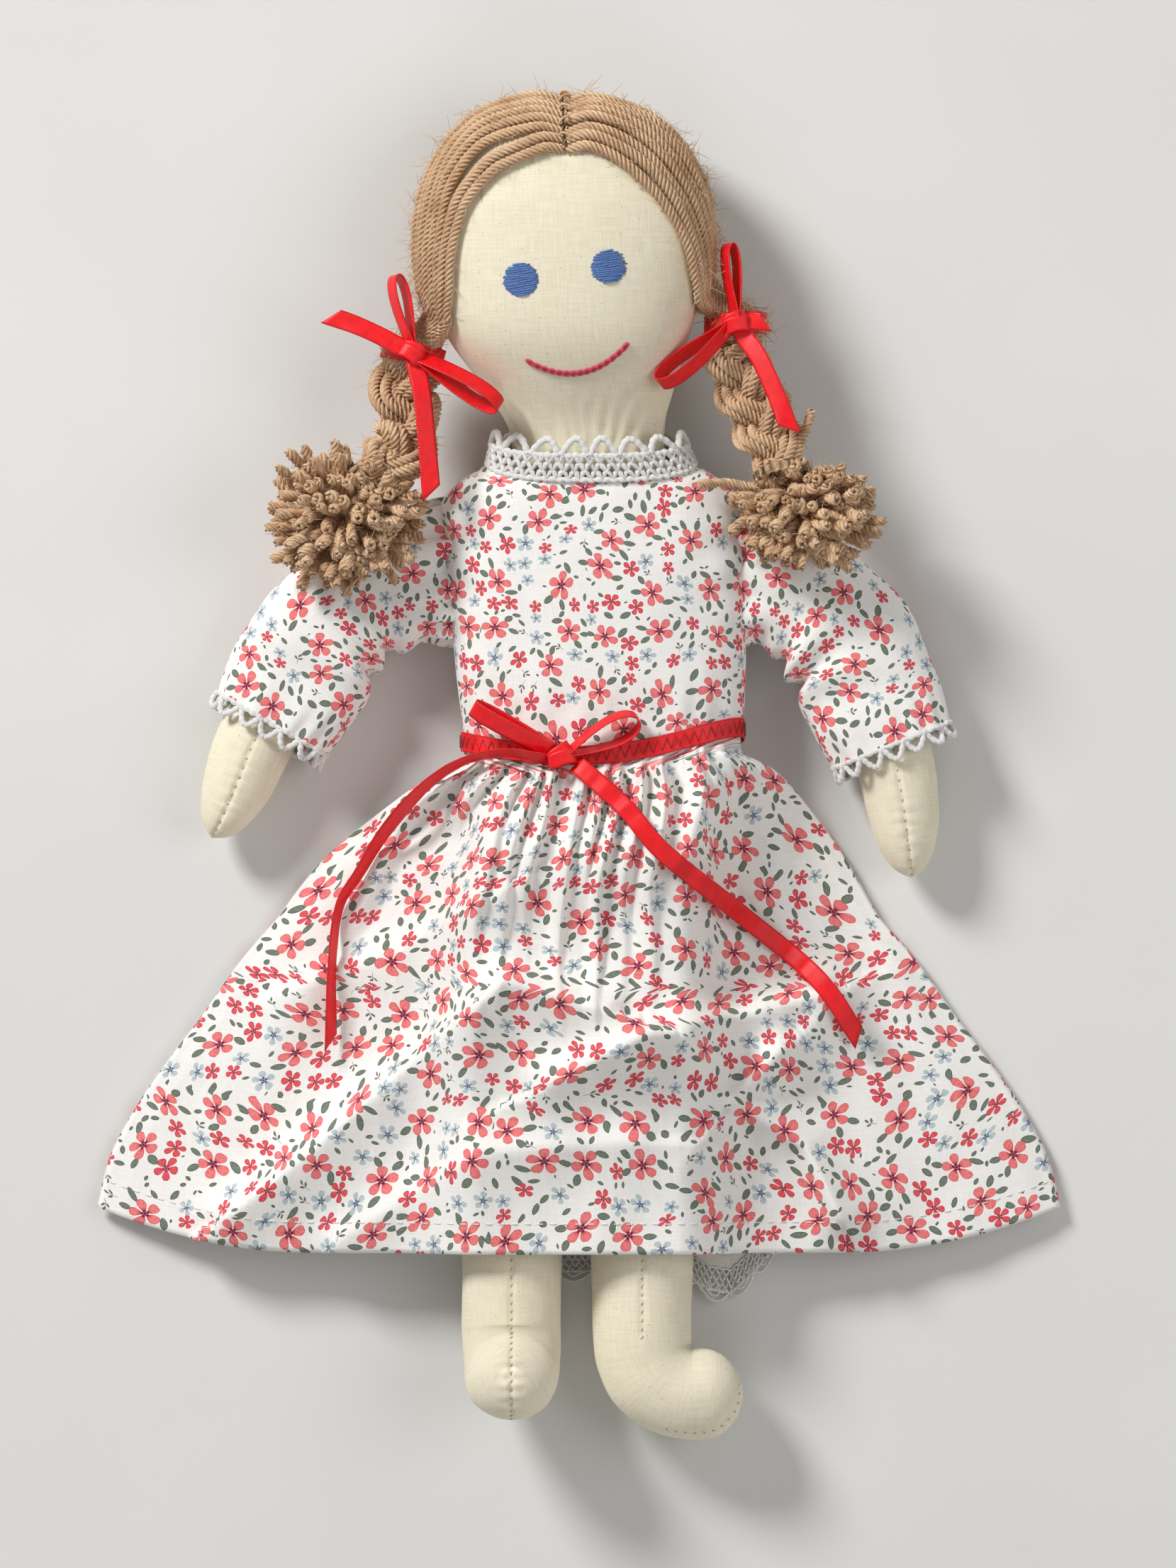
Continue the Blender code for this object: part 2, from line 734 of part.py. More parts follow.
def add_hair(name, side, pivot):
    """Yarn laid from the parting over one side of the head to its bow."""
    grow = HAIR_THICK + HAIR_EASE
    alongs = [HAIR_LOW_SHARE] + [row[0] for row in HEAD_SHARES if row[0] > HAIR_LOW_SHARE + 0.05]
    rows = [hair_row(along, side, grow) for along in alongs]
    tip_x, tip_z = head_centre(1.0)
    tip = Vector((tip_x + side * PARTING / 2, NECK_Y + HEAD_HEIGHT + grow, tip_z))
    bm = sheet(rows, tip)
    turn_outward(bm, Vector((NECK_X + HEAD_SWAY, NECK_Y + HEAD_HEIGHT * WIDEST_SHARE, HEAD_Z)))
    hair = add_piece(name, bm, "yarn", pivot)
    wall_inward(hair, HAIR_THICK)
    return hair


def add_parting_stitch(pivot):
    """Running stitch that holds the yarn down along the parting."""
    grow = HAIR_THICK + HAIR_EASE
    points = []
    for step in range(PARTING_STITCHES + 1):
        along = mix(0.88, 0.985, step / PARTING_STITCHES)
        _, depth = read_shares(HEAD_SHARES, along)
        x, z = head_centre(along)
        lift = grow * (along - WIDEST_SHARE) / (1.0 - WIDEST_SHARE)
        top = z + HEAD_DEPTH / 2 * depth + grow + GAP + STITCH_THREAD / 2
        points.append(Vector((x, NECK_Y + along * HEAD_HEIGHT + lift, top)))
    add_wire("parting_stitch", points, STITCH_THREAD, "yarn", pivot)


def braid_pivot_place(name):
    across, along = BRAID_PLACE_SHARES[name]
    return Vector((SIDES[name] * across * HEAD_WIDTH, NECK_Y + along * HEAD_HEIGHT, BRAID_Z))


def braid_route(name):
    """Smooth centre line of a braid from the bow to the tie."""
    root = braid_pivot_place(name)
    side = SIDES[name]
    points = []
    for across, down, rise in BRAID_ROUTE_SHARES[name]:
        points.append(root + Vector((side * across, down, rise)) * BRAID_LENGTH)
    return smooth_route(points, 3)


def flat_side(direction):
    """Level vector square to a direction."""
    return direction.cross(UP).normalized()


def tube_rings(route, half_widths, half_depths, count, square_share=1.0):
    """Rings square to the route's level direction, one at each of its points."""
    rings = []
    for point, way, half_width, half_depth in zip(route, directions(route), half_widths, half_depths):
        side = flat_side(way)
        rings.append(oval(point, side, UP, half_width, half_depth, count, square_share))
    return rings


def braid_rings(name, grow):
    """Braid rings: a round root about its pivot, then the braid to the tie."""
    route = braid_route(name)
    way = directions(route)[0]
    side = flat_side(way)
    root = BRAID_ROOT / 2 + grow
    rings = []
    for share in (0.92, 0.7, 0.35):
        size = root * math.sqrt(1.0 - share * share)
        rings.append(oval(route[0] - way * root * share, side, UP, size, size * BRAID_DEPTH / BRAID_ROOT, BRAID_SIDES))
    swell = [smooth((i / (len(route) - 1) - 0.05) / 0.4) for i in range(len(route))]
    widths = [mix(BRAID_ROOT, BRAID_WIDTH, share) / 2 + grow for share in swell]
    depths = [BRAID_DEPTH / 2 + grow] * len(route)
    rings += tube_rings(route, widths, depths, BRAID_SIDES)
    if grow:
        rings.append([point + directions(route)[-1] * grow for point in rings[-1]])
    return rings


def tie_rings(name, grow):
    """Thread wound round the yarn between the braid and the tassel."""
    route = braid_route(name)
    way = directions(route)[-1]
    side = flat_side(way)
    start = route[-1] + way * (GAP - grow)
    end = route[-1] + way * (GAP + TIE_LENGTH + grow)
    half_width = BRAID_WIDTH / 2 * TIE_WIDTH_SHARE + grow
    half_depth = BRAID_DEPTH / 2 * TIE_WIDTH_SHARE + grow
    return [oval(place, side, UP, half_width, half_depth, BRAID_SIDES) for place in (start, end)]


def add_braid(name, pivot):
    """Braid, its tie and the cut yarn ends that spread round the tie."""
    add_piece("braid_" + name, skin(braid_rings(name, 0.0), FLAT, FLAT), "yarn", pivot)
    add_piece("braid_tie_" + name, skin(tie_rings(name, 0.0), FLAT, FLAT), "yarn", pivot)
    bm = bmesh.new()
    bmesh.ops.create_uvsphere(bm, u_segments=18, v_segments=10, radius=0.5)
    sizes = (TASSEL_WIDTH, TASSEL_HEIGHT * TASSEL_HEIGHT_SHARES[name], TASSEL_DEPTH)
    bmesh.ops.scale(bm, vec=sizes, verts=bm.verts)
    across, along = TASSEL_PLACE_SHARES[name]
    place = braid_pivot_place(name) + Vector((SIDES[name] * across, along, 0.0)) * BRAID_LENGTH
    bmesh.ops.translate(bm, vec=(place.x, place.y, TASSEL_Z), verts=bm.verts)
    tassel = add_piece("tassel_" + name, bm, "yarn", pivot)
    rings = braid_rings(name, GAP * 2)[5:]
    cut(tassel, add_cutter("braid_room_" + name, skin(rings, FLAT, FLAT)))
    cut(tassel, add_cutter("tie_room_" + name, skin(tie_rings(name, GAP), FLAT, FLAT)))


def ribbon_rings(route, across=None, width=RIBBON_WIDTH):
    """Flat ribbon along a route, lying level or with its width along across."""
    rings = []
    for point, way in zip(route, directions(route)):
        side = across if across is not None else flat_side(way)
        face = side.cross(way).normalized()
        half = side * width / 2
        skinny = face * RIBBON_THICK / 2
        rings.append([point + half + skinny, point + half - skinny, point - half - skinny, point - half + skinny])
    return rings


def knot_at(place, way):
    """Rounded knot over the crossing of a bow."""
    side = flat_side(way)
    shares = ((-0.5, 0.62), (-0.25, 0.95), (0.25, 0.95), (0.5, 0.62))
    rings = []
    for along, size in shares:
        centre = place + way * KNOT_LENGTH * along
        rings.append(oval(centre, side, UP, KNOT_WIDTH / 2 * size, KNOT_THICK / 2 * size, 10, 0.8))
    return skin(rings, FLAT, FLAT)


def loop_route(knot, reach):
    """Route of a bow's loop, out along reach and back above itself."""
    low = UP * -LAYER
    high = UP * LOOP_RISE
    points = [
        knot + low * 0.6, knot + reach * 0.45 + low, knot + reach * 0.88 + low * 0.5,
        knot + reach + high * 0.5, knot + reach * 0.86 + high, knot + reach * 0.45 + high * 0.8,
        knot + UP * LAYER,
    ]
    return smooth_route(points, 2)


def ring_loop_route(knot, reach):
    """Route of a loop that stands open, seen as a ring from above."""
    side = flat_side(reach) * RING_LOOP_WIDTH / 2
    points = [
        knot + reach * 0.05, knot + reach * 0.45 + side * 0.75, knot + reach * 0.8 + side,
        knot + reach, knot + reach * 0.8 - side, knot + reach * 0.45 - side * 0.75,
        knot + reach * 0.08 - side * 0.1,
    ]
    return smooth_route(points, 2)


def add_bow(name, knot, way, strips, pivot, wrap=None):
    """A bow as one solid: its knot joined with its loops, tails and wrap."""
    bow = add_piece(name, knot_at(knot, way), "ribbon", pivot)
    for number, rings in enumerate(strips):
        strip = add_cutter(f"{name}_strip_{number}", skin(rings, FLAT, FLAT))
        cut(bow, strip, "UNION")
    if wrap is not None:
        cut(bow, wrap, "UNION")


def wrap_round_braid(name):
    """Ribbon round the braid's root, clear of the braid as it swings."""
    route = braid_route(name)
    way = directions(route)[0]
    side = flat_side(way)
    inner = BRAID_ROOT / 2 + WRAP_EASE
    outer = inner + RIBBON_THICK
    rings = []
    for along, radius in ((-0.5, outer), (0.5, outer), (0.5, inner), (-0.5, inner)):
        centre = route[0] + way * RIBBON_WIDTH * along
        rings.append(oval(centre, side, UP, radius, radius * 0.97, 20))
    rings.append(rings[0])
    bm = skin(rings)
    bmesh.ops.remove_doubles(bm, verts=bm.verts, dist=RIBBON_THICK / 10)
    bmesh.ops.recalc_face_normals(bm, faces=bm.faces)
    return add_cutter("wrap_" + name, bm)


def hair_bow_knot(name):
    lift = BRAID_ROOT / 2 + WRAP_EASE + RIBBON_THICK / 2 + KNOT_THICK / 2 - LAYER
    return braid_pivot_place(name) + UP * lift


def add_hair_bow(name, pivot):
    """Ribbon bow tied over the root of a braid."""
    knot = hair_bow_knot(name)
    strips = []
    for shares in BOW_LOOP_SHARES[name]:
        reach = Vector(shares) * BOW_SPAN
        strips.append(ribbon_rings(loop_route(knot, reach), flat_side(reach)))
    for tail_shares in BOW_TAIL_SHARES[name]:
        points = [knot] + [knot + Vector(shares) * BOW_SPAN for shares in tail_shares]
        strips.append(ribbon_rings(smooth_route(points, 2)))
    way = Vector((*BOW_WAY_SHARES[name], 0.0)).normalized()
    add_bow("hair_bow_" + name, knot, way, strips, pivot, wrap_round_braid(name))


def shoulder_place(name):
    """Hinge of an arm, where its round top meets the torso's side."""
    reach = TORSO_WIDTH / 2 + ARM_WIDTH / 2 + GAP
    return Vector((centre_x(SHOULDER_Y) + SIDES[name] * reach, SHOULDER_Y, SHOULDER_Z))


def arm_route(name):
    """Smooth centre line of the arm from the shoulder to the hand's tip."""
    root = shoulder_place(name)
    points = []
    for across, down in ARM_ROUTE_SHARES[name]:
        x = root.x + SIDES[name] * across * ARM_LENGTH
        z = mix(SHOULDER_Z, ARM_Z, smooth(across / 0.2))
        points.append(Vector((x, root.y + down * ARM_LENGTH, z)))
    return smooth_route(points, 4)


def arm_rings_of(name):
    def rings_at(inset):
        route = arm_route(name)
        way = (EAST * SIDES[name] + NORTH * -0.3).normalized()
        side = flat_side(way)
        rings = []
        for share in SHOULDER_TURN_SHARES:
            size = math.sqrt(1.0 - share * share)
            reach = (ARM_WIDTH / 2 - inset) * share
            rings.append(oval(
                route[0] - way * reach, side, UP, (ARM_WIDTH / 2 - inset) * size,
                (ARM_TOP_DEPTH / 2 - inset) * mix(1.0, size, 0.7), ARM_SIDES,
            ))
        for along, width, depth in ARM_SHARES:
            point, way = at_share(route, along)
            back = way * inset * smooth((along - ARM_SHARES[-4][0]) / (1.0 - ARM_SHARES[-4][0]))
            rings.append(oval(
                point - back, flat_side(way), UP, ARM_WIDTH / 2 * width - inset,
                ARM_DEPTH / 2 * depth - inset, ARM_SIDES,
            ))
        return rings

    return rings_at


def arm_tip_of(name):
    def tip_at(inset):
        point, way = at_share(arm_route(name), 1.0)
        return point - way * inset

    return tip_at


def sleeve_route(name):
    root = shoulder_place(name)
    points = []
    for across, down in SLEEVE_ROUTE_SHARES[name]:
        x = root.x + SIDES[name] * across * ARM_LENGTH
        points.append(Vector((x, root.y + down * ARM_LENGTH, SLEEVE_DEPTH / 2 - FLAT_CUT)))
    return smooth_route(points, 2)


def sleeve_rings(name):
    """Puffed sleeve from inside the armhole to the cuff."""
    route = sleeve_route(name)
    stations = [(i / (len(SLEEVE_WIDTH_SHARES) - 1), share) for i, share in enumerate(SLEEVE_WIDTH_SHARES)]
    rings = []
    for i, (point, way) in enumerate(zip(route, directions(route))):
        (width,) = read_shares(stations, i / (len(route) - 1))
        rings.append(resting(oval(
            point, flat_side(way), UP, SLEEVE_WIDTH / 2 * width, SLEEVE_DEPTH / 2,
            SLEEVE_SIDES, SLEEVE_SQUARE_SHARE,
        ), 0.0))
    return rings


def scalloped(ring, way, height, scallops):
    """The ring moved along way, with its edge drawn into scallops."""
    moved = []
    for i, point in enumerate(ring):
        wave = abs(math.cos(math.pi * scallops * i / len(ring)))
        moved.append(point + way * (height - SCALLOP * (1.0 - wave)))
    return moved


def add_arm(name, pivot, bodice_block):
    """Stuffed arm with its sleeve and cuff lace."""
    centre = arm_route(name)[len(arm_route(name)) // 2]
    add_stuffed("arm_" + name, arm_rings_of(name), "calico", pivot, arm_tip_of(name), 0, centre)
    rings = sleeve_rings(name)
    bm = skin(rings)
    turn_outward(bm, sleeve_route(name)[6])
    sleeve = add_piece("sleeve_" + name, bm, "print", pivot)
    wall_inward(sleeve, SLEEVE_WALL)
    cut(sleeve, bodice_block)
    way = directions(sleeve_route(name))[-1]
    count = CUFF_SCALLOPS * POINTS_PER_SCALLOP
    last = sleeve_route(name)[-1]
    edge = resting(oval(
        last + way * GAP, flat_side(way), UP, SLEEVE_WIDTH / 2 * SLEEVE_WIDTH_SHARES[-1],
        SLEEVE_DEPTH / 2, count, SLEEVE_SQUARE_SHARE,
    ), FLAT_CUT / 2)
    lace = skin([edge, scalloped(edge, way, CUFF_LACE, CUFF_SCALLOPS)])
    turn_outward(lace, last)
    piece = add_piece("cuff_lace_" + name, lace, "lace", pivot)
    wall_inward(piece, LACE_WALL)


def bodice_ring(along, grow, count=BODICE_SIDES, floor=0.0):
    width, depth = read_shares(BODICE_SHARES, along)
    y = WAIST_Y + along * BODICE_LENGTH
    centre = Vector((centre_x(y), y, BODICE_Z))
    half_width = BODICE_WIDTH / 2 * width + grow
    half_depth = BODICE_DEPTH / 2 * depth + grow
    ring = oval(centre, EAST, UP, half_width, half_depth, count, TORSO_SQUARE_SHARE)
    if along < 0.1:
        weight = 1.0 - along / 0.1
        for i, point in enumerate(ring):
            point.y += weight * waist_line(point.x, math.tau * i / count) + GAP / 2
    return resting(ring, WAIST_LIFT - grow if along < 0.1 else floor)


def armhole_cutter(name):
    """Block the shape of the arm's way out through the bodice's side."""
    place = shoulder_place(name)
    start = Vector((place.x - SIDES[name] * ARM_WIDTH, SHOULDER_Y, ARM_Z))
    end = Vector((place.x + SIDES[name] * ARM_WIDTH, SHOULDER_Y, ARM_Z))
    rings = [oval(spot, NORTH, UP, ARMHOLE_HEIGHT / 2, ARMHOLE_DEPTH / 2, 16) for spot in (start, end)]
    return add_cutter("armhole_" + name, skin(rings, FLAT, FLAT))


def add_bodice():
    """Printed cotton bodice with its armholes; returns the block that fits sleeves to it."""
    rings = [bodice_ring(along, 0.0) for along, _, _ in BODICE_SHARES]
    bm = skin(rings)
    turn_outward(bm, Vector((WAIST_X, SHOULDER_Y, BODICE_Z)))
    bodice = add_piece("bodice", bm, "print")
    wall_inward(bodice, BODICE_WALL)
    for name in SIDES:
        cut(bodice, armhole_cutter(name))
    grown = [bodice_ring(along, GAP * 2, BODICE_SIDES, -GAP * 2) for along, _, _ in BODICE_SHARES]
    return add_cutter("bodice_block", skin(grown, FLAT, FLAT))


def collar_ring(along, grow, rise, count):
    """Ring round the neckline, from over the bodice to round the neck."""
    ring = bodice_ring(along, grow, count, FLAT_CUT / 2)
    for point in ring:
        point.y += rise
    return ring


def add_collar():
    """Crochet lace sewn round the neckline."""
    count = COLLAR_SCALLOPS * POINTS_PER_SCALLOP
    rings = [
        collar_ring(0.93, COLLAR_EASE + LACE_WALL * 2, 0.0, count),
        collar_ring(0.985, COLLAR_EASE + LACE_WALL, 0.0, count),
        collar_ring(1.0, COLLAR_EASE, COLLAR_RISE * 0.4, count),
    ]
    rings.append(scalloped(rings[-1], NORTH, COLLAR_RISE * 0.7, COLLAR_SCALLOPS))
    bm = skin(rings)
    turn_outward(bm, Vector((COLLAR_X, NECK_Y, NECK_Z)))
    collar = add_piece("collar_lace", bm, "lace")
    wall_inward(collar, LACE_WALL)


def add_sash():
    """Ribbon sewn round the waist seam, over the edges of bodice and skirt."""
    rings = []
    for share in (-0.5, 0.0, 0.5):
        ring = bodice_ring(0.0, SASH_EASE + RIBBON_THICK)
        rings.append([point + NORTH * (RIBBON_WIDTH * share - GAP / 2) for point in ring])
    bm = skin(rings)
    turn_outward(bm, Vector((WAIST_X, WAIST_Y, BODICE_Z)))
    tree = BVHTree.FromBMesh(bm)
    band = add_piece("sash_band", bm, "ribbon")
    wall_inward(band, RIBBON_THICK)
    return tree


def skirt_floor(share):
    """How far the back of the skirt has come down to the floor."""
    return smooth((share - 0.028) / 0.2)


def fall(share):
    """Soft drop from 1 to 0."""
    return 0.5 + 0.5 * math.cos(math.pi * min(max(share, 0.0), 1.0))


def petticoat_half(share):
    (width,) = read_shares(PETTICOAT_SHARES, share)
    return PETTICOAT_WIDTH / 2 * width


def petticoat_top(across, share):
    """Height of the petticoat's front at a distance from its middle."""
    half = petticoat_half(share)
    if abs(across) >= half:
        return 0.0
    drop = fall((abs(across) - PLATEAU) / max(half - PLATEAU, NEST))
    tent = PETTICOAT_EDGE + (PETTICOAT_TOP - PETTICOAT_EDGE) * drop
    power = 2.0 / TORSO_SQUARE_SHARE
    round_top = (1.0 - (abs(across) / half) ** power) ** (1.0 / power)
    waist = TORSO_Z + (PETTICOAT_TOP - TORSO_Z) * round_top
    return mix(waist, tent, smooth(share / 0.2))


def near_fold(x, share, fold):
    """Distance from a place on the skirt to a fold's line."""
    place = Vector((x, -share * SKIRT_LENGTH))
    nearest = SKIRT_LENGTH
    ends = [Vector((a * SKIRT_WIDTH / 2, -b * SKIRT_LENGTH)) for a, b in fold]
    for a, b in zip(ends, ends[1:]):
        part = (place - a).dot(b - a) / (b - a).length_squared
        nearest = min(nearest, (place - a.lerp(b, min(max(part, 0.0), 1.0))).length)
    return nearest


def skirt_half(share):
    (width,) = read_shares(SKIRT_SHARES, share)
    waist = BODICE_WIDTH / 2 * BODICE_SHARES[0][1] - SKIRT_WIDTH / 2 * SKIRT_SHARES[0][1]
    return SKIRT_WIDTH / 2 * width + waist * fall((share - SKIRT_SHARES[1][0]) / SKIRT_SHARES[3][0])


def skirt_top(across, share):
    """Height of the skirt's front at a distance from its middle."""
    half = skirt_half(share)
    side_share = min(abs(across) / half, 1.0)
    tent = SKIRT_EDGE + (SKIRT_TENT - SKIRT_EDGE) * fall(side_share)
    lower = max(tent, petticoat_top(across, share) + SKIRT_WALL + NEST)
    for fold in FOLD_SHARES:
        reach = near_fold(across, share, fold) / FOLD_SPREAD
        lower += FOLD_HEIGHT * math.exp(-reach * reach / 2) * fall((side_share - 0.75) / 0.25)
    power = 2.0 / TORSO_SQUARE_SHARE
    round_top = (1.0 - side_share ** power) ** (1.0 / power)
    waist = BODICE_Z + BODICE_DEPTH / 2 * BODICE_SHARES[0][2] * round_top
    pleat = 1.0 + math.cos(math.tau * PLEATS * (across / half + 1.0) / 2)
    pleat *= PLEAT_HEIGHT / 2 * smooth((share - 0.03) / 0.08) * fall(share / 0.55) * fall((side_share - 0.7) / 0.3)
    return mix(waist, lower, smooth((share - 0.028) / 0.18)) + pleat


def dress_ring(share, half_at, top_at, length, floor, edge, front_steps, back_steps):
    """Ring of a gathered skirt that lies flat at the back and drapes over the legs."""
    half = half_at(share)
    down = skirt_floor(share)
    y = WAIST_Y - share * length
    middle = centre_x(y)
    power = 2.0 / TORSO_SQUARE_SHARE
    waist_half_depth = BODICE_DEPTH / 2 * BODICE_SHARES[0][2]
    ring = []
    for step in range(front_steps + back_steps):
        front = step <= front_steps
        turn_share = step / front_steps if front else 1.0 + (step - front_steps) / back_steps
        turn = math.pi * (turn_share - 0.5)
        round_x = signed_power(math.sin(turn), TORSO_SQUARE_SHARE)
        level_x = 2.0 * turn_share - 1.0 if turn_share <= 1.0 else 3.0 - 2.0 * turn_share
        across = half * mix(round_x, level_x, down)
        side_share = min(abs(across) / half, 1.0)
        if step in (0, front_steps):
            z = mix(TORSO_Z, edge / 2, down)
        elif front:
            z = top_at(across, share)
        else:
            round_back = (1.0 - side_share ** power) ** (1.0 / power)
            z = mix(BODICE_Z - waist_half_depth * round_back, 0.0, down)
            z = max(z, mix(WAIST_LIFT, 0.0, smooth((share - 0.05) / 0.1)), 0.0) + floor
        rise = share * share * HEM_RISE * max(0.0, (side_share - HEM_CORNER_SHARE) / (1.0 - HEM_CORNER_SHARE)) ** 2
        weight = max(0.0, 1.0 - share / 0.35)
        lift = weight * waist_line(middle + across, math.pi * turn_share - math.pi / 2)
        ring.append(Vector((middle + across, y + rise + lift - GAP / 2, z)))
    return ring


def add_skirt():
    """Printed skirt gathered into the waist seam."""
    rings = [
        dress_ring(share, skirt_half, skirt_top, SKIRT_LENGTH, 0.0, SKIRT_EDGE, FRONT_STEPS, BACK_STEPS)
        for share, _ in SKIRT_SHARES
    ]
    bm = skin(rings)
    turn_outward(bm, Vector((0.0, mix(WAIST_Y, SKIRT_BOTTOM_Y, 0.5), LEG_Z / 2)))
    tree = BVHTree.FromBMesh(bm)
    skirt = add_piece("skirt", bm, "print")
    wall_inward(skirt, SKIRT_WALL)
    return tree


def cloth_top(trees, x, y, reach=0.0):
    """Highest point of the cloths within reach of a place, or None past their edges."""
    tops = []
    for across in (-reach, 0.0, reach):
        for along in (-reach, 0.0, reach):
            start = Vector((x + across, y + along, SKIRT_WIDTH))
            for tree in trees:
                hit, _, _, _ = tree.ray_cast(start, -UP)
                if hit is not None:
                    tops.append(hit.z)
    return max(tops) if tops else None


def add_petticoat(skirt_tree):
    """Plain petticoat inside the skirt, with a lace hem."""
    rings = [
        dress_ring(
            share, petticoat_half, petticoat_top, PETTICOAT_LENGTH, PETTICOAT_FLOOR,
            PETTICOAT_EDGE, LINING_FRONT_STEPS, LINING_BACK_STEPS,
        )
        for share, _ in PETTICOAT_SHARES
    ]
    for ring in rings:
        for point in ring[1:LINING_FRONT_STEPS]:
            top = cloth_top((skirt_tree,), point.x, point.y - NEST * 2)
            if top is not None and top > TORSO_Z:
                point.z = min(point.z, top - SKIRT_WALL - NEST)
    bm = skin(rings)
    turn_outward(bm, Vector((0.0, mix(WAIST_Y, SKIRT_BOTTOM_Y, 0.5), LEG_Z)))
    petticoat = add_piece("petticoat", bm, "lining")
    wall_inward(petticoat, PETTICOAT_WALL)
    edge = [point + NORTH * -GAP for point in rings[-1]]
    lace = skin([edge, scalloped(edge, -NORTH, LACE_DEPTH, LACE_SCALLOPS)])
    turn_outward(lace, Vector((0.0, SKIRT_BOTTOM_Y - LACE_DEPTH / 2, LEG_Z)))
    piece = add_piece("petticoat_lace", lace, "lace")
    wall_inward(piece, PETTICOAT_WALL)


def add_sash_bow():
    """Bow tied on the sash over the middle of the waist."""
    lift = BODICE_DEPTH / 2 * BODICE_SHARES[0][2] + SASH_EASE + RIBBON_THICK + GAP
    knot = Vector((SASH_KNOT_X, SASH_KNOT_Y, BODICE_Z + lift + KNOT_THICK / 2))
    flat_reach = Vector(SASH_LOOP_SHARES["right"]) * BOW_SPAN
    ring_reach = Vector(SASH_LOOP_SHARES["left"]) * BOW_SPAN
    edgewise = ring_loop_route(knot + UP * LAYER, ring_reach)
    strips = [
        ribbon_rings(loop_route(knot, flat_reach), flat_side(flat_reach)),
        ribbon_rings(edgewise, UP, RIBBON_WIDTH * EDGEWISE_SHARE),
    ]
    add_bow("sash_bow", knot, Vector((*SASH_WAY_SHARES, 0.0)).normalized(), strips, None)


def add_sash_tail(name, trees):
    """Long tail of the sash's bow, lying over the band and the skirt."""
    points = []
    for across, along in TAIL_SHARES[name]:
        y = WAIST_Y - along * SKIRT_LENGTH
        points.append(Vector((centre_x(WAIST_Y) + across * SKIRT_WIDTH / 2, y, 0.0)))
    route = smooth_route(points, 3)
    tops = []
    for point in route:
        top = cloth_top(trees, point.x, point.y, RIBBON_WIDTH / 2)
        tops.append(top if top is not None else BODICE_Z)
    for i, point in enumerate(route):
        point.z = max(tops[max(i - 1, 0):i + 2]) + TAIL_REST + RIBBON_THICK / 2
    width = RIBBON_WIDTH if name == "left" else RIBBON_WIDTH * EDGEWISE_SHARE
    add_piece("sash_tail_" + name, skin(ribbon_rings(route, None, width), FLAT, FLAT), "ribbon")


def leg_rings_of(name):
    """Leg rings from the hip to the toe; the foot turns outwards or up."""
    toe_way = EAST if name == "left" else UP
    side = UP if name == "left" else EAST
    half_side = LEG_DEPTH / 2 if name == "left" else LEG_WIDTH / 2
    half_other = LEG_WIDTH / 2 if name == "left" else LEG_DEPTH / 2
    x = LEG_CENTRE_X + SIDES[name] * LEG_SPACING / 2
    foot_half = LEG_WIDTH / 2 * FOOT_WIDTH_SHARE
    ankle_y = LEG_TOP_Y - LEG_LENGTH * LEG_LENGTH_SHARES[name] + foot_half + HEEL_BEND

    def rings_at(inset):
        rings = []
        for along, width in SHIN_SHARES:
            centre = Vector((x, mix(LEG_TOP_Y, ankle_y, along), LEG_Z))
            rings.append(oval(centre, side, toe_way, half_side * width - inset, half_other * width - inset, LEG_SIDES))
        for step in range(HEEL_STEPS + 1):
            turn = math.pi / 2 * step / HEEL_STEPS
            bend = Vector((x, ankle_y, LEG_Z)) + toe_way * HEEL_BEND
            centre = bend - toe_way * HEEL_BEND * math.cos(turn) - NORTH * HEEL_BEND * math.sin(turn)
            inner = toe_way * math.cos(turn) + NORTH * math.sin(turn)
            size = mix(SHIN_SHARES[-1][1], FOOT_WIDTH_SHARE, step / HEEL_STEPS)
            rings.append(oval(centre, side, inner, half_side * size - inset, half_other * size - inset, LEG_SIDES))
        toe = Vector((x, ankle_y - HEEL_BEND, LEG_Z)) + toe_way * (HEEL_BEND + TOE_RUN)
        for share in TOE_TURN_SHARES:
            size = FOOT_WIDTH_SHARE * math.sqrt(1.0 - share * share)
            centre = toe + toe_way * (TOE_REACH - inset) * share
            rings.append(oval(centre, side, NORTH, max(half_side * size - inset, inset), max(half_other * size - inset, inset), LEG_SIDES))
        return rings

    def tip_at(inset):
        toe = Vector((x, ankle_y - HEEL_BEND, LEG_Z)) + toe_way * (HEEL_BEND + TOE_RUN)
        return toe + toe_way * (TOE_REACH - inset)

    return rings_at, tip_at, x, ankle_y


def add_leg(name):
    """Stuffed leg with its L-shaped foot, which turns about the leg's length."""
    rings_at, tip_at, x, ankle_y = leg_rings_of(name)
    pivot = new_pivot(f"leg_{name}_pivot", (x, LEG_TOP_Y, LEG_Z), hip_pivot)
    centre = Vector((x, mix(LEG_TOP_Y, ankle_y, 0.5), LEG_Z))
    add_stuffed("leg_" + name, rings_at, "calico", pivot, tip_at, 0, centre)


FINISHES = {
    "calico": ((0.80, 0.74, 0.58), 0.9),
    "fibre": ((0.92, 0.92, 0.90), 1.0),
    "yarn": ((0.43, 0.26, 0.13), 0.95),
    "ribbon": ((0.66, 0.012, 0.03), 0.35),
    "eye_thread": ((0.03, 0.11, 0.40), 0.6),
    "mouth_thread": ((0.55, 0.02, 0.07), 0.7),
    "lace": ((0.85, 0.84, 0.80), 0.9),
    "lining": ((0.86, 0.83, 0.76), 0.9),
    "print": ((0.84, 0.74, 0.72), 0.9),
}

for old in list(bpy.data.objects):
    bpy.data.objects.remove(old)

parts = new_collection("Rag doll")
cutters = new_collection("Cutters")

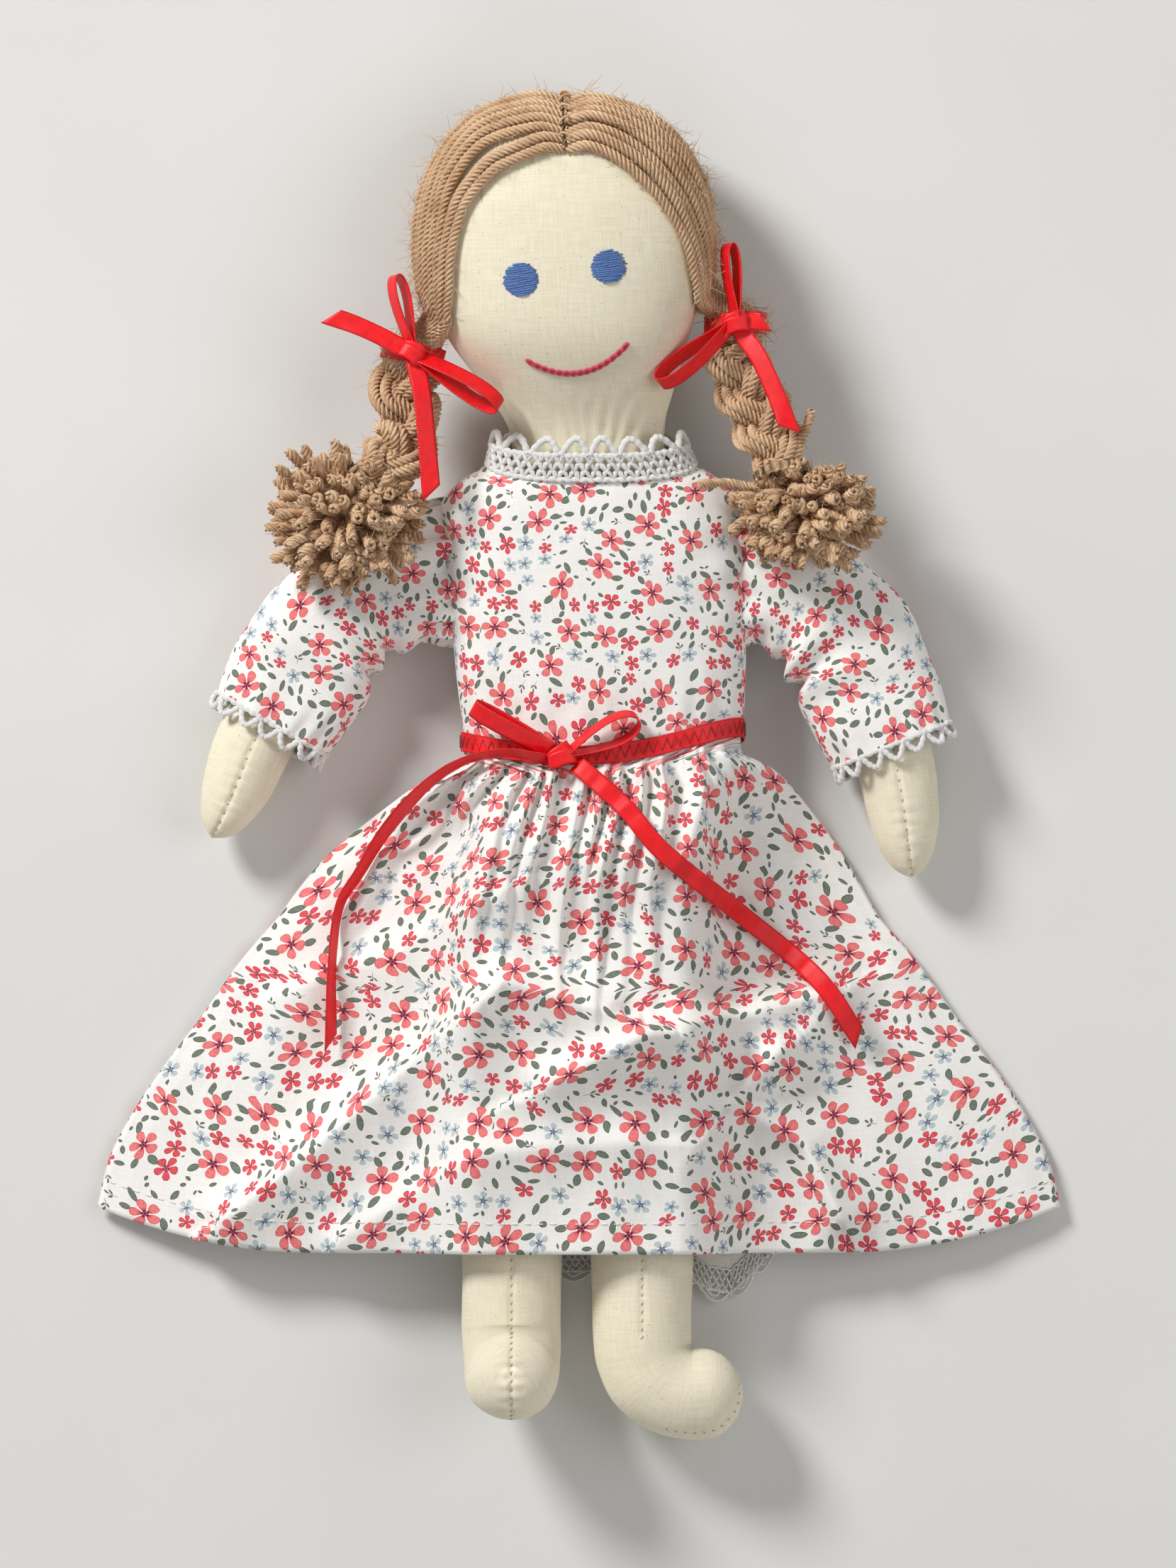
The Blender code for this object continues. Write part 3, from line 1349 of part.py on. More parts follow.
hip_pivot = new_pivot("hip_pivot", (centre_x(HIP_Y), HIP_Y, TORSO_Z))
neck_pivot = new_pivot("neck_pivot", (NECK_X, NECK_HINGE_Y, NECK_Z))

add_torso()
add_head(neck_pivot)
add_eye("eye_left", 1.0, neck_pivot)
add_eye("eye_right", -1.0, neck_pivot)
add_mouth(neck_pivot)
add_parting_stitch(neck_pivot)
for side_name, side_sign in SIDES.items():
    hair_piece = add_hair("hair_" + side_name, side_sign, neck_pivot)
    room = bmesh.new()
    bmesh.ops.create_uvsphere(
        room, u_segments=24, v_segments=16, radius=BRAID_ROOT / 2 + WRAP_EASE + RIBBON_THICK + GAP * 2,
    )
    bmesh.ops.translate(room, vec=braid_pivot_place(side_name), verts=room.verts)
    cut(hair_piece, add_cutter("bow_room_" + side_name, room))
    add_braid(side_name, new_pivot(f"braid_{side_name}_pivot", braid_pivot_place(side_name), neck_pivot))
    add_hair_bow(side_name, neck_pivot)
block = add_bodice()
for side_name in SIDES:
    add_arm(side_name, new_pivot(f"shoulder_{side_name}_pivot", shoulder_place(side_name)), block)
add_collar()
band_surface = add_sash()
add_sash_bow()
skirt_surface = add_skirt()
add_petticoat(skirt_surface)
for side_name in SIDES:
    add_sash_tail(side_name, (band_surface, skirt_surface))
for side_name in SIDES:
    add_leg(side_name)
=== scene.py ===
import math
import random

import bmesh
import bpy
import numpy as np
from mathutils import Matrix, Vector, noise
from mathutils.bvhtree import BVHTree


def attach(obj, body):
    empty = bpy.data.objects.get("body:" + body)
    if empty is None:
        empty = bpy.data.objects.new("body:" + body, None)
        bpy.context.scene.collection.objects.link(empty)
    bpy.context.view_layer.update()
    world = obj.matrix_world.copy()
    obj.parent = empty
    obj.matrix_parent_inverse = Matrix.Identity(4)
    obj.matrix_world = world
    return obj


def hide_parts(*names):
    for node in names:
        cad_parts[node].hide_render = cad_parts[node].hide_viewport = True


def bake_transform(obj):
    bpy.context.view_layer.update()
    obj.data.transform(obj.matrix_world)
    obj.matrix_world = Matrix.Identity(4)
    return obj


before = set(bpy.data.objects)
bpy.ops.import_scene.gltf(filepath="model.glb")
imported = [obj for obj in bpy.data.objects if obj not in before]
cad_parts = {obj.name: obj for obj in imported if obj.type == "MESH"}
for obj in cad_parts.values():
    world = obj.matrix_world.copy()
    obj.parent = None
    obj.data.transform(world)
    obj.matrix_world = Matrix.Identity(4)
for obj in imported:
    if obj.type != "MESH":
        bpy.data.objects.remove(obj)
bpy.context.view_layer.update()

# Camera, floor and light
# The camera looks straight down, as the photograph does. The floor is pale and the light soft.
MM = 0.001
UP = Vector((0.0, 0.0, 1.0))
RIGHT = Vector((1.0, 0.0, 0.0))
HEADWARD = Vector((0.0, 1.0, 0.0))
SIDES = {"left": 1.0, "right": -1.0}


def add_light(name, place, size, power, aim):
    data = bpy.data.lights.new(name, "AREA")
    data.shape = "DISK"
    data.size = size
    data.energy = power
    light = bpy.data.objects.new(name, data)
    bpy.context.scene.collection.objects.link(light)
    light.location = place
    light.visible_camera = False
    light.rotation_euler = (Vector(aim) - Vector(place)).to_track_quat("-Z", "Y").to_euler()


camera_data = bpy.data.cameras.new("camera")
camera_data.lens = 366.2
camera_data.clip_start = 0.01
camera = bpy.data.objects.new("camera", camera_data)
camera.location = (0.0029, -0.0047, 5.0)
bpy.context.scene.collection.objects.link(camera)
bpy.context.scene.camera = camera
bpy.context.scene.view_settings.view_transform = "Standard"

add_light("key", (-1.60, 1.70, 1.56), 0.84, 73.0, (0.0, 0.0, 0.0))
add_light("fill", (1.70, 0.2, 1.8), 1.8, 14.4, (0.0, 0.0, 0.0))
add_light("low", (0.0, -1.7, 1.6), 1.4, 6.0, (0.0, -0.14, 0.0))

world = bpy.data.worlds.new("world")
bpy.context.scene.world = world
world.use_nodes = True
sky = world.node_tree
path = sky.nodes.new("ShaderNodeLightPath")
clear = sky.nodes.new("ShaderNodeMath")
clear.operation = "MAXIMUM"
sky.links.new(path.outputs["Is Glossy Ray"], clear.inputs[0])
sky.links.new(path.outputs["Is Transmission Ray"], clear.inputs[1])
seen = sky.nodes.new("ShaderNodeMath")
seen.operation = "MAXIMUM"
sky.links.new(path.outputs["Is Camera Ray"], seen.inputs[0])
sky.links.new(clear.outputs[0], seen.inputs[1])
strength = sky.nodes.new("ShaderNodeMapRange")
strength.inputs["To Min"].default_value = 0.25
strength.inputs["To Max"].default_value = 1.0
sky.links.new(seen.outputs[0], strength.inputs["Value"])
sky.nodes["Background"].inputs["Color"].default_value = (1.0, 1.0, 1.0, 1.0)
sky.links.new(strength.outputs[0], sky.nodes["Background"].inputs["Strength"])

# Shared shapes
# Lengths below are in millimetres and are turned into metres when a mesh is made.


def smooth(share):
    held = min(max(share, 0.0), 1.0)
    return held * held * (3.0 - 2.0 * held)


def mix(start, end, share):
    return start + (end - start) * share


def fall(share):
    return 0.5 + 0.5 * math.cos(math.pi * min(max(share, 0.0), 1.0))


def read(table, along):
    """Values of a table at a place along it, on a smooth curve through its rows."""
    if along <= table[0][0]:
        return list(table[0][1:])
    if along >= table[-1][0]:
        return list(table[-1][1:])
    last = len(table) - 1
    i = next(k for k in range(last) if along <= table[k + 1][0])
    low, high = table[i], table[i + 1]
    span = high[0] - low[0]
    t = (along - low[0]) / span
    values = []
    for k in range(1, len(low)):
        rise = (high[k] - low[k]) / span
        before = rise if i == 0 else (low[k] - table[i - 1][k]) / (low[0] - table[i - 1][0])
        after = rise if i + 1 == last else (table[i + 2][k] - high[k]) / (table[i + 2][0] - high[0])
        start = 0.0 if before * rise <= 0 else 2 * before * rise / (before + rise)
        end = 0.0 if after * rise <= 0 else 2 * after * rise / (after + rise)
        values.append(
            low[k] * (2 * t ** 3 - 3 * t * t + 1) + start * span * (t ** 3 - 2 * t * t + t)
            + high[k] * (3 * t * t - 2 * t ** 3) + end * span * (t ** 3 - t * t)
        )
    return values


def power(value, exponent):
    return math.copysign(abs(value) ** exponent, value)


def curve(points, count):
    """That many points, evenly spaced, on a smooth curve through the given ones."""
    points = [Vector(point) for point in points]
    ends = [points[0] * 2 - points[1]] + points + [points[-1] * 2 - points[-2]]
    fine = []
    for a, b, c, d in zip(ends, ends[1:], ends[2:], ends[3:]):
        for step in range(12):
            t = step / 12
            bend = (2 * a - 5 * b + 4 * c - d) * t * t + (3 * b - a - 3 * c + d) * t ** 3
            fine.append(0.5 * (2 * b + (c - a) * t + bend))
    fine.append(points[-1].copy())
    return spaced(fine, count)


def run_along(line):
    """Length from a line's start to each of its points."""
    return np.concatenate([[0.0], np.cumsum(np.linalg.norm(np.diff(line, axis=0), axis=1))])


def point_at(value, run, line):
    return Vector([np.interp(value, run, line[:, k]) for k in range(3)])


def spaced(fine, count):
    """The line resampled to that many evenly spaced points."""
    line = np.array([tuple(point) for point in fine])
    run = run_along(line)
    return [point_at(value, run, line) for value in np.linspace(0.0, run[-1], count)]


def length_of(route):
    return sum((b - a).length for a, b in zip(route, route[1:]))


def ways(route):
    before = [route[0]] + list(route[:-1])
    after = list(route[1:]) + [route[-1]]
    return [(b - a).normalized() for a, b in zip(before, after)]


def oval(centre, side, up, half_side, half_up, count, square=1.0):
    """Closed ring that starts along up and turns towards side."""
    ring = []
    for step in range(count):
        turn = math.tau * step / count
        across, rise = power(math.sin(turn), square), power(math.cos(turn), square)
        ring.append(centre + side * half_side * across + up * half_up * rise)
    return ring


def level_side(way):
    return way.cross(UP).normalized()


def add_wall(piece, wall):
    solidify = piece.modifiers.new("Wall", "SOLIDIFY")
    solidify.thickness = wall * MM
    solidify.offset = -1.0


class Build:
    """Gathers grids of points, with their UVs in millimetres, into one mesh."""

    def __init__(self):
        self.points = []
        self.faces = []
        self.uvs = []

    def grid(self, rows, wrap=True, uv=None, caps=False, tips=(None, None)):
        start, count = len(self.points), len(rows[0])
        self.points += [tuple(point) for row in rows for point in row]
        uv = uv or self.flat_uv(rows, wrap)
        steps = [(j, (j + 1) % count) for j in range(count if wrap else count - 1)]
        for i in range(len(rows) - 1):
            low = start + i * count
            high = low + count
            for j, k in steps:
                self.faces.append((low + j, low + k, high + k, high + j))
                self.uvs += [uv[i][j], uv[i][j + 1], uv[i + 1][j + 1], uv[i + 1][j]]
        for end, tip in enumerate(tips):
            row = end * (len(rows) - 1)
            low = start + row * count
            marks = uv[row]
            if tip is not None:
                self.points.append(tuple(tip))
                for j, k in steps:
                    corners = [(low + k, marks[j + 1]), (low + j, marks[j])]
                    first, second = reversed(corners) if end else corners
                    self.faces.append((first[0], second[0], len(self.points) - 1))
                    self.uvs += [first[1], second[1], marks[j]]
            elif caps:
                order = range(count) if end else range(count - 1, -1, -1)
                self.faces.append(tuple(low + j for j in order))
                self.uvs += [marks[j] for j in order]

    @staticmethod
    def flat_uv(rows, wrap):
        """UVs by length: across from the row's middle, along down each row."""
        lines = np.array([[tuple(point) for point in row] for row in rows])
        downs = np.linalg.norm(np.diff(lines, axis=0), axis=2).mean(axis=1)
        uv = []
        for line, down in zip(lines, [0.0] + np.cumsum(downs).tolist()):
            run = run_along(np.vstack([line, line[:1]]) if wrap else line)
            uv.append([(value, down) for value in (run - run[-1] / 2).tolist()])
        return uv

    def tube(self, route, radius, sides=6, ply=0, pitch=5.0, deep=0.3, turn=0.0):
        """Round or plied strand along a route. Its rings turn with the plies."""
        points = np.array([tuple(point) for point in route])
        ways = np.vstack([points[1:], points[-1:]]) - np.vstack([points[:1], points[:-1]])
        ways /= np.linalg.norm(ways, axis=1)[:, None]
        normal = np.cross(ways[0], (0.0, 0.0, 1.0) if abs(ways[0][2]) < 0.9 else (0.0, 1.0, 0.0))
        normals = []
        for way in ways:
            normal = normal - way * normal.dot(way)
            normal /= np.linalg.norm(normal)
            normals.append(normal)
        normals = np.array(normals)
        others = np.cross(ways, normals)
        run = run_along(points)
        size = np.broadcast_to(np.array(radius, dtype=float), (len(points),))
        angle = np.arange(sides) * math.tau / sides
        swell = np.ones(sides)
        if ply:
            swell = 1.0 - deep + deep * np.abs(np.sin(ply / 2 * angle)) / 0.87
        turned = angle[None, :] + (math.tau * run[:, None] / pitch if ply else 0.0) + turn
        reach = size[:, None] * swell[None, :]
        rings = points[:, None, :] + (
            normals[:, None, :] * (np.cos(turned) * reach)[..., None]
            + others[:, None, :] * (np.sin(turned) * reach)[..., None]
        )
        around = np.linspace(0.0, 1.0, sides + 1) * (10.0 if ply else math.tau * float(size.mean()))
        uv = [[(along, value) for value in around] for along in run.tolist()]
        self.grid(rings.tolist(), True, uv, caps=True)

    def ribbon(self, route, across, width, thick, cut=0.0):
        """Ribbon along a route with its width along across; cut slants its last end."""
        spots = [k / 3 - 1.0 for k in range(7)]
        loop = [(spot, 1.0) for spot in spots] + [(spot, -1.0) for spot in reversed(spots)]
        run = run_along(np.array([tuple(point) for point in route])).tolist()
        rows, uv = [], []
        for i, (point, way) in enumerate(zip(route, ways(route))):
            side = across[i] if isinstance(across, list) else across
            side = (side - way * side.dot(way)).normalized()
            face = side.cross(way).normalized() * thick / 2
            slant = cut * smooth((i / (len(route) - 1) - 0.8) / 0.2)
            reach = side * width / 2 + way * slant
            rows.append([point + reach * spot + face * lift for spot, lift in loop])
            uv.append([(run[i], spot * width / 2) for spot, _ in loop + loop[:1]])
        self.grid(rows, True, uv, caps=True)

    def finish(self, name, material, wall=0.0, levels=0, mend=False, merge=0.0):
        """The mesh as an object in metres."""
        mesh = bpy.data.meshes.new(name)
        points = np.array(self.points, dtype=float) * MM
        mesh.from_pydata(points.tolist(), [], self.faces)
        layer = mesh.uv_layers.new(name="cut")
        layer.data.foreach_set("uv", np.array(self.uvs, dtype=np.float32).ravel())
        mesh.validate()
        if mend or merge:
            bm = bmesh.new()
            bm.from_mesh(mesh)
            if merge:
                bmesh.ops.remove_doubles(bm, verts=bm.verts, dist=merge * MM)
            bmesh.ops.recalc_face_normals(bm, faces=bm.faces)
            bm.to_mesh(mesh)
            bm.free()
        mesh.shade_smooth()
        mesh.materials.append(material)
        piece = bpy.data.objects.new(name, mesh)
        bpy.context.scene.collection.objects.link(piece)
        if levels:
            subsurf = piece.modifiers.new("Smooth", "SUBSURF")
            subsurf.levels = levels
            subsurf.render_levels = levels
        if wall:
            add_wall(piece, wall)
        return piece


def bake(piece):
    """Turns the piece's modifiers into its mesh."""
    bpy.context.view_layer.update()
    graph = bpy.context.evaluated_depsgraph_get()
    mesh = bpy.data.meshes.new_from_object(piece.evaluated_get(graph))
    piece.modifiers.clear()
    piece.data = mesh
    return piece


def shift(piece, move):
    """Moves each vertex, in millimetres, by what move gives for its place and normal."""
    mesh = piece.data
    normals = [vertex.normal.copy() for vertex in mesh.vertices]
    for vertex, normal in zip(mesh.vertices, normals):
        place = vertex.co / MM
        vertex.co = (place + move(place, normal)) * MM
    mesh.update()


def surface_tree(*pieces):
    """Search tree in millimetres over the finished surface of some pieces."""
    bm = bmesh.new()
    bpy.context.view_layer.update()
    graph = bpy.context.evaluated_depsgraph_get()
    for piece in pieces:
        mesh = piece.evaluated_get(graph).to_mesh()
        bm.from_mesh(mesh)
    bmesh.ops.scale(bm, vec=(1 / MM, 1 / MM, 1 / MM), verts=bm.verts)
    return BVHTree.FromBMesh(bm)


def hits(tree, places):
    """Where rays down from the places meet a surface."""
    found = [tree.ray_cast(place, -UP)[0] for place in places]
    return [hit for hit in found if hit is not None]


def drop(tree, x, y, reach=0.0, default=0.0):
    """Top of what lies at a place, or the highest within reach of it."""
    around = ((0, 0), (-reach, 0), (reach, 0), (0, -reach), (0, reach)) if reach else ((0, 0),)
    found = hits(tree, [Vector((x + dx, y + dy, 300.0)) for dx, dy in around])
    return max((hit.z for hit in found), default=default)


def wrinkle(place, size):
    """Smooth noise, about -1 to 1, with features of that size."""
    return noise.noise(Vector((place.x / size, place.y / size, place.z / size)))


def keep_above(points, height):
    for point in points:
        point.z = max(point.z, height)


def scatter(chance, reach):
    return Vector([chance.uniform(-reach, reach) for _ in range(3)])


def oval_at(x, y, z, half_width, half_height, count, square):
    """Upright oval across the doll."""
    return oval(Vector((x, y, z)), RIGHT, UP, half_width, half_height, count, square)


# Materials
# Each is built from nodes on the pieces' own UVs, which are in millimetres.


def srgb(code):
    values = [int(code[k:k + 2], 16) / 255 for k in (0, 2, 4)]
    return tuple([v / 12.92 if v <= 0.04045 else ((v + 0.055) / 1.055) ** 2.4 for v in values] + [1.0])


def operation(kind):
    return lambda value, other=0.0: value.shader.math(kind, value, other)


class Value:
    """A node's output. Arithmetic and comparisons with it add Math nodes."""

    def __init__(self, shader, socket):
        self.shader = shader
        self.socket = socket

    def __rsub__(self, other):
        return self.shader.math("SUBTRACT", other, self)

    __add__, __sub__, __mul__ = operation("ADD"), operation("SUBTRACT"), operation("MULTIPLY")
    __truediv__, __pow__, __abs__ = operation("DIVIDE"), operation("POWER"), operation("ABSOLUTE")
    __lt__, __gt__ = operation("LESS_THAN"), operation("GREATER_THAN")


class Shader:
    """Short calls for building a material's nodes."""

    def __init__(self, name, colour, roughness, sheen=0.0):
        self.material = bpy.data.materials.new(name)
        self.material.use_nodes = True
        self.tree = self.material.node_tree
        self.base = self.tree.nodes["Principled BSDF"].inputs
        self.set({"Base Color": colour, "Roughness": roughness})
        self.set({"Sheen Weight": sheen, "Sheen Roughness": 0.5})

    def set(self, values):
        for name, value in values.items():
            self.fill(self.base[name], value)

    def fill(self, socket, value):
        if isinstance(value, Value):
            self.tree.links.new(value.socket, socket)
        else:
            socket.default_value = srgb(value) if isinstance(value, str) else value

    def node(self, kind, out, inputs, **settings):
        """A new node's output, or the list of them where out names several."""
        node = self.tree.nodes.new("ShaderNode" + kind)
        for key, value in settings.items():
            setattr(node, key, value)
        for key, value in inputs.items():
            self.fill(node.inputs[key], value)
        if isinstance(out, tuple):
            return [Value(self, node.outputs[name]) for name in out]
        return Value(self, node.outputs[out])

    def math(self, kind, a, b=0.0, c=0.0):
        return self.node("Math", 0, {0: a, 1: b, 2: c}, operation=kind)

    def least(self, first, *others):
        for other in others:
            first = self.math("MINIMUM", first, other)
        return first

    def most(self, first, *others):
        for other in others:
            first = self.math("MAXIMUM", first, other)
        return first

    def sine(self, value):
        return self.math("SINE", value)

    def vector(self, kind, a, b=(0.0, 0.0, 0.0), out=0):
        return self.node("VectorMath", out, {0: a, 1: b}, operation=kind)

    def split(self, vector):
        return self.node("SeparateXYZ", (0, 1, 2), {"Vector": vector})

    def step(self, value, low, high):
        """0 below low, 1 above high, soft between."""
        inputs = {"Value": value, "From Min": low, "From Max": high}
        return self.node("MapRange", 0, inputs, interpolation_type="SMOOTHSTEP")

    def range(self, value, low, high, start=0.0, end=1.0):
        inputs = {"Value": value, "From Min": low, "From Max": high, "To Min": start, "To Max": end}
        return self.node("MapRange", 0, inputs)

    def blend(self, factor, a, b, kind="MIX"):
        return self.node("Mix", 2, {0: factor, 6: a, 7: b}, data_type="RGBA", blend_type=kind)

    def tones(self, value, low, high, dark, light):
        """One colour at low, the other at high."""
        return self.blend(self.range(value, low, high), dark, light)

    def noise(self, vector, scale, detail=2.0, stretch=None, out="Fac"):
        if stretch:
            vector = self.vector("MULTIPLY", vector, stretch)
        return self.node("TexNoise", out, {"Vector": vector, "Scale": scale, "Detail": detail})

    def uv(self):
        return self.node("UVMap", 0, {}, uv_map="cut")

    def finish(self, colour, height=None, deep=0.0, strength=1.0, roughness=None):
        """The material, with its colour and the relief of a height in millimetres."""
        self.set({"Base Color": colour})
        if height is not None:
            inputs = {"Height": height, "Distance": deep * MM, "Strength": strength}
            self.set({"Normal": self.node("Bump", 0, inputs)})
        if roughness is not None:
            self.set({"Roughness": roughness})
        return self.material


def weave(s, uv, pitch):
    """Threads over and under each other, and their thick and thin places."""
    x, y, _ = s.split(uv)
    wander = s.noise(uv, 0.5)
    across = s.sine(s.math("MULTIPLY_ADD", x, math.tau / pitch, wander * 7.0))
    along = s.sine(s.math("MULTIPLY_ADD", y, math.tau / pitch, wander * -7.0))
    slubs = s.noise(uv, 1.0, 3.0, (1.9, 0.11, 1.0)) + s.noise(uv, 1.0, 3.0, (0.11, 1.9, 1.0))
    return across * along, slubs


def make_calico():
    s = Shader("calico", "ebe2c8", 0.92, 0.15)
    uv = s.uv()
    checks, slubs = weave(s, uv, 0.52)
    colour = s.tones(slubs, 0.75, 1.25, "e6dcbf", "f4edd8")
    colour = s.blend(s.range(s.noise(uv, 0.03, 3.0), 0.3, 0.7, 0.0, 0.3), colour, "e6dab9")
    inputs = {"Vector": uv, "Scale": 0.16}
    distance, chances = s.node("TexVoronoi", ("Distance", "Color"), inputs, voronoi_dimensions="2D")
    speck = (distance < 0.035) * (s.split(chances)[0] > 0.55)
    colour = s.blend(speck * 0.5, colour, "8c7650")
    return s.finish(colour, s.math("MULTIPLY_ADD", checks, 0.5, slubs * 1.2), 0.10, 0.8)


def make_print(name, fine):
    """Small flowers, leaves, sprigs and buds on off-white cotton, each clear of the others."""
    s = Shader(name, "f3efe9", 0.88, 0.1)
    uv = s.vector("MULTIPLY", s.uv(), (fine, fine, 1.0))
    drift = s.vector("SUBTRACT", s.noise(uv, 0.035, 1.0, out="Color"), (0.5, 0.5, 0.5))
    bent = s.vector("ADD", uv, s.vector("MULTIPLY", drift, (9.0, 9.0, 0.0)))
    wash = s.noise(uv, 1.3, 3.0)
    rough = (s.noise(uv, 0.9) - 0.5) * 0.5
    green = s.tones(wash, 0.3, 0.7, "5d695c", "7c8775")
    # Cell size, jitter and offset of each kind of motif
    large, small, filler = (19.0, 0.60, 3.0), (7.4, 0.48, 41.0), (5.0, 0.80, 87.0)

    def motifs(at, layer, out, **settings):
        cell, jitter, offset = layer
        moved = s.vector("ADD", at, (offset, offset * 0.37, 0.0))
        inputs = {"Vector": moved, "Scale": 1.0 / cell, "Randomness": jitter}
        return moved, s.node("TexVoronoi", out, inputs, voronoi_dimensions="2D", **settings)

    def nearest(at, layer):
        """From the nearest motif's centre to a place, and that motif's three chances."""
        moved, (centre, chances) = motifs(at, layer, ("Position", "Color"))
        return s.vector("SUBTRACT", moved, centre), s.split(chances)

    def room(at, layer):
        """Free distance round the nearest motif's centre."""
        return motifs(at, layer, "Radius", feature="N_SPHERE_RADIUS")[1] * layer[0]

    def rotated(a, b, cos, sin):
        return a * cos + b * sin, b * cos - a * sin

    def turned(local, chance):
        a, b, _ = s.split(local)
        turn = chance * math.tau
        return rotated(a, b, s.math("COSINE", turn), s.sine(turn))

    def placed(a, b, x, y, turn):
        """Coordinates about a leaf's own middle and along its own length."""
        return rotated(a - x, b - y, math.cos(turn), math.sin(turn))

    def size_of(a, b):
        return s.math("SQRT", a * a + b * b)

    def leaf(a, b, long, wide):
        """How far inside a leaf's edge a place lies."""
        taper = 1.0 - (abs(a) / long) ** 2.2
        return s.most(taper, 0.0) ** 0.72 * wide - abs(b)

    def gap_to_large(at):
        """Free distance from a motif's centre to the nearest large flower or its leaves."""
        local, chances = nearest(at, large)
        a, b = turned(local, chances[0])
        pair = size_of(a - 5.9, abs(b) - 2.7) - 1.9
        single = size_of(a + 6.3, b) - 1.9
        return s.least(size_of(a, b) - 5.3, pair, single)

    def flower(local, chance, size):
        """Five petals: their inside measure, dark dots, and places out along and off a petal."""
        a, b = turned(local, chance)
        radius = size_of(a, b) / size
        angle = s.math("PINGPONG", s.math("ARCTAN2", b, a) + math.tau, math.pi / 5)
        out, off = radius * s.math("COSINE", angle), radius * s.sine(angle)
        wide = s.math("MULTIPLY_ADD", out, 0.26, 0.150)
        petal = ((out - 0.58) / 0.41) ** 2.0 + (off / wide) ** 2.0 + rough
        spot = ((out - 0.205) / 0.085) ** 2.0 + (off / 0.085) ** 2.0
        dots = s.most(s.step(spot, 1.3, 0.7), s.step(radius, 0.10, 0.06))
        return petal, dots, out, off

    def paint_leaf(colour, reach, shown):
        tone = s.blend(s.step(reach, 0.34, 0.14), green, "3c463d")
        return s.blend(s.step(reach, 0.0, 0.08) * shown, colour, tone)

    # Leaves, buds and sprigs fill what the flowers leave free
    small_here, small_chances = nearest(bent, small)
    small_gap = gap_to_large(s.vector("SUBTRACT", bent, small_here))
    local, chances = nearest(bent, filler)
    centre = s.vector("SUBTRACT", bent, local)
    near_small, _ = nearest(centre, small)
    absent = (gap_to_large(s.vector("SUBTRACT", centre, near_small)) < 2.9) * 20.0
    gap = s.vector("LENGTH", near_small, out=1) - 3.25 + absent
    free = s.least(gap, gap_to_large(centre), room(bent, filler))
    a, b = turned(local, chances[0])
    long = s.least(free, 2.3)
    is_sprig = (free > 1.9) * (chances[1] > 0.45)
    colour = paint_leaf("f3f0eb", leaf(a, b, long, long * 0.50), (free > 0.55) * (1.0 - is_sprig))
    scale = s.math("DIVIDE", 2.7, s.least(s.most(free, 1.0), 2.7))
    a, b = a * scale, b * scale
    curl = b - a * a * 0.07
    stem = s.least(0.13 - abs(curl), 2.0 - abs(a + 0.7))
    tip = leaf(*placed(a, curl, 1.75, 0.0, 0.1), 1.05, 0.5)
    side = leaf(*placed(a, abs(curl), 0.1, 0.95, 0.75), 1.05, 0.48)
    colour = paint_leaf(colour, s.most(stem, tip, side), is_sprig)

    # Small red and pale blue flowers
    size = s.least(room(bent, small) * 1.04, 3.35)
    petal, dots, out, off = flower(small_here, small_chances[0], size)
    shown = small_gap > 2.9
    pale = small_chances[1] > 0.56
    red = s.tones(wash, 0.35, 0.65, "d63f4f", "e45e62")
    red = s.blend(s.step(petal, 0.45, 0.95), red, "c52c40")
    blue = s.tones(wash, 0.3, 0.7, "a2b3b9", "c4d0d1")
    blue = s.blend(s.step(out, 0.62, 0.30) * s.step(abs(off), 0.12, 0.04), blue, "7690ab")
    edge = s.blend(pale, s.step(petal, 1.06, 0.94), s.step(petal, 1.12, 0.72) * 0.92)
    colour = s.blend(edge * shown, colour, s.blend(pale, red, blue))
    heart = s.step(size_of(out, off), 0.30, 0.20) * shown
    colour = s.blend(heart * 0.85, colour, s.blend(pale, "c23347", "93a6b6"))
    colour = s.blend(dots * shown, colour, s.blend(pale, "7a2033", "2f3550"))

    # Large coral flowers, each with two leaves on one side and one on the other
    local, chances = nearest(bent, large)
    a, b = turned(local, chances[0])
    pair = leaf(*placed(a, abs(b), 5.9, 2.7, 0.5), 2.15, 1.12)
    single = leaf(*placed(a, b, -6.3, 0.3, 0.7), 2.35, 1.12)
    colour = paint_leaf(colour, s.most(pair, single), 1.0)
    petal, dots, out, off = flower(local, chances[1], 4.9)
    coral = s.tones(wash, 0.3, 0.7, "e6646a", "f08e88")
    coral = s.blend(s.step(petal, 0.5, 0.98) * 0.55, coral, "d8424f")
    coral = s.blend(s.step(out, 0.50, 0.28) * 0.8, coral, "d03446")
    colour = s.blend(s.step(petal, 1.05, 0.95), colour, coral)
    colour = s.blend(s.step(size_of(out, off), 0.26, 0.18), colour, "cf4652")
    colour = s.blend(dots, colour, "3a2640")
    checks, slubs = weave(s, uv, 0.36)
    colour = s.blend(1.0, colour, s.range(slubs, 0.75, 1.25, 0.93, 1.02), "MULTIPLY")
    return s.finish(colour, s.math("MULTIPLY_ADD", checks, 0.5, slubs), 0.05, 0.6)


def make_lining():
    s = Shader("lining", "efebe2", 0.9, 0.1)
    checks, slubs = weave(s, s.uv(), 0.4)
    return s.finish(s.tones(slubs, 0.8, 1.2, "e3ddd0", "f3efe8"), checks + slubs, 0.06, 0.7)


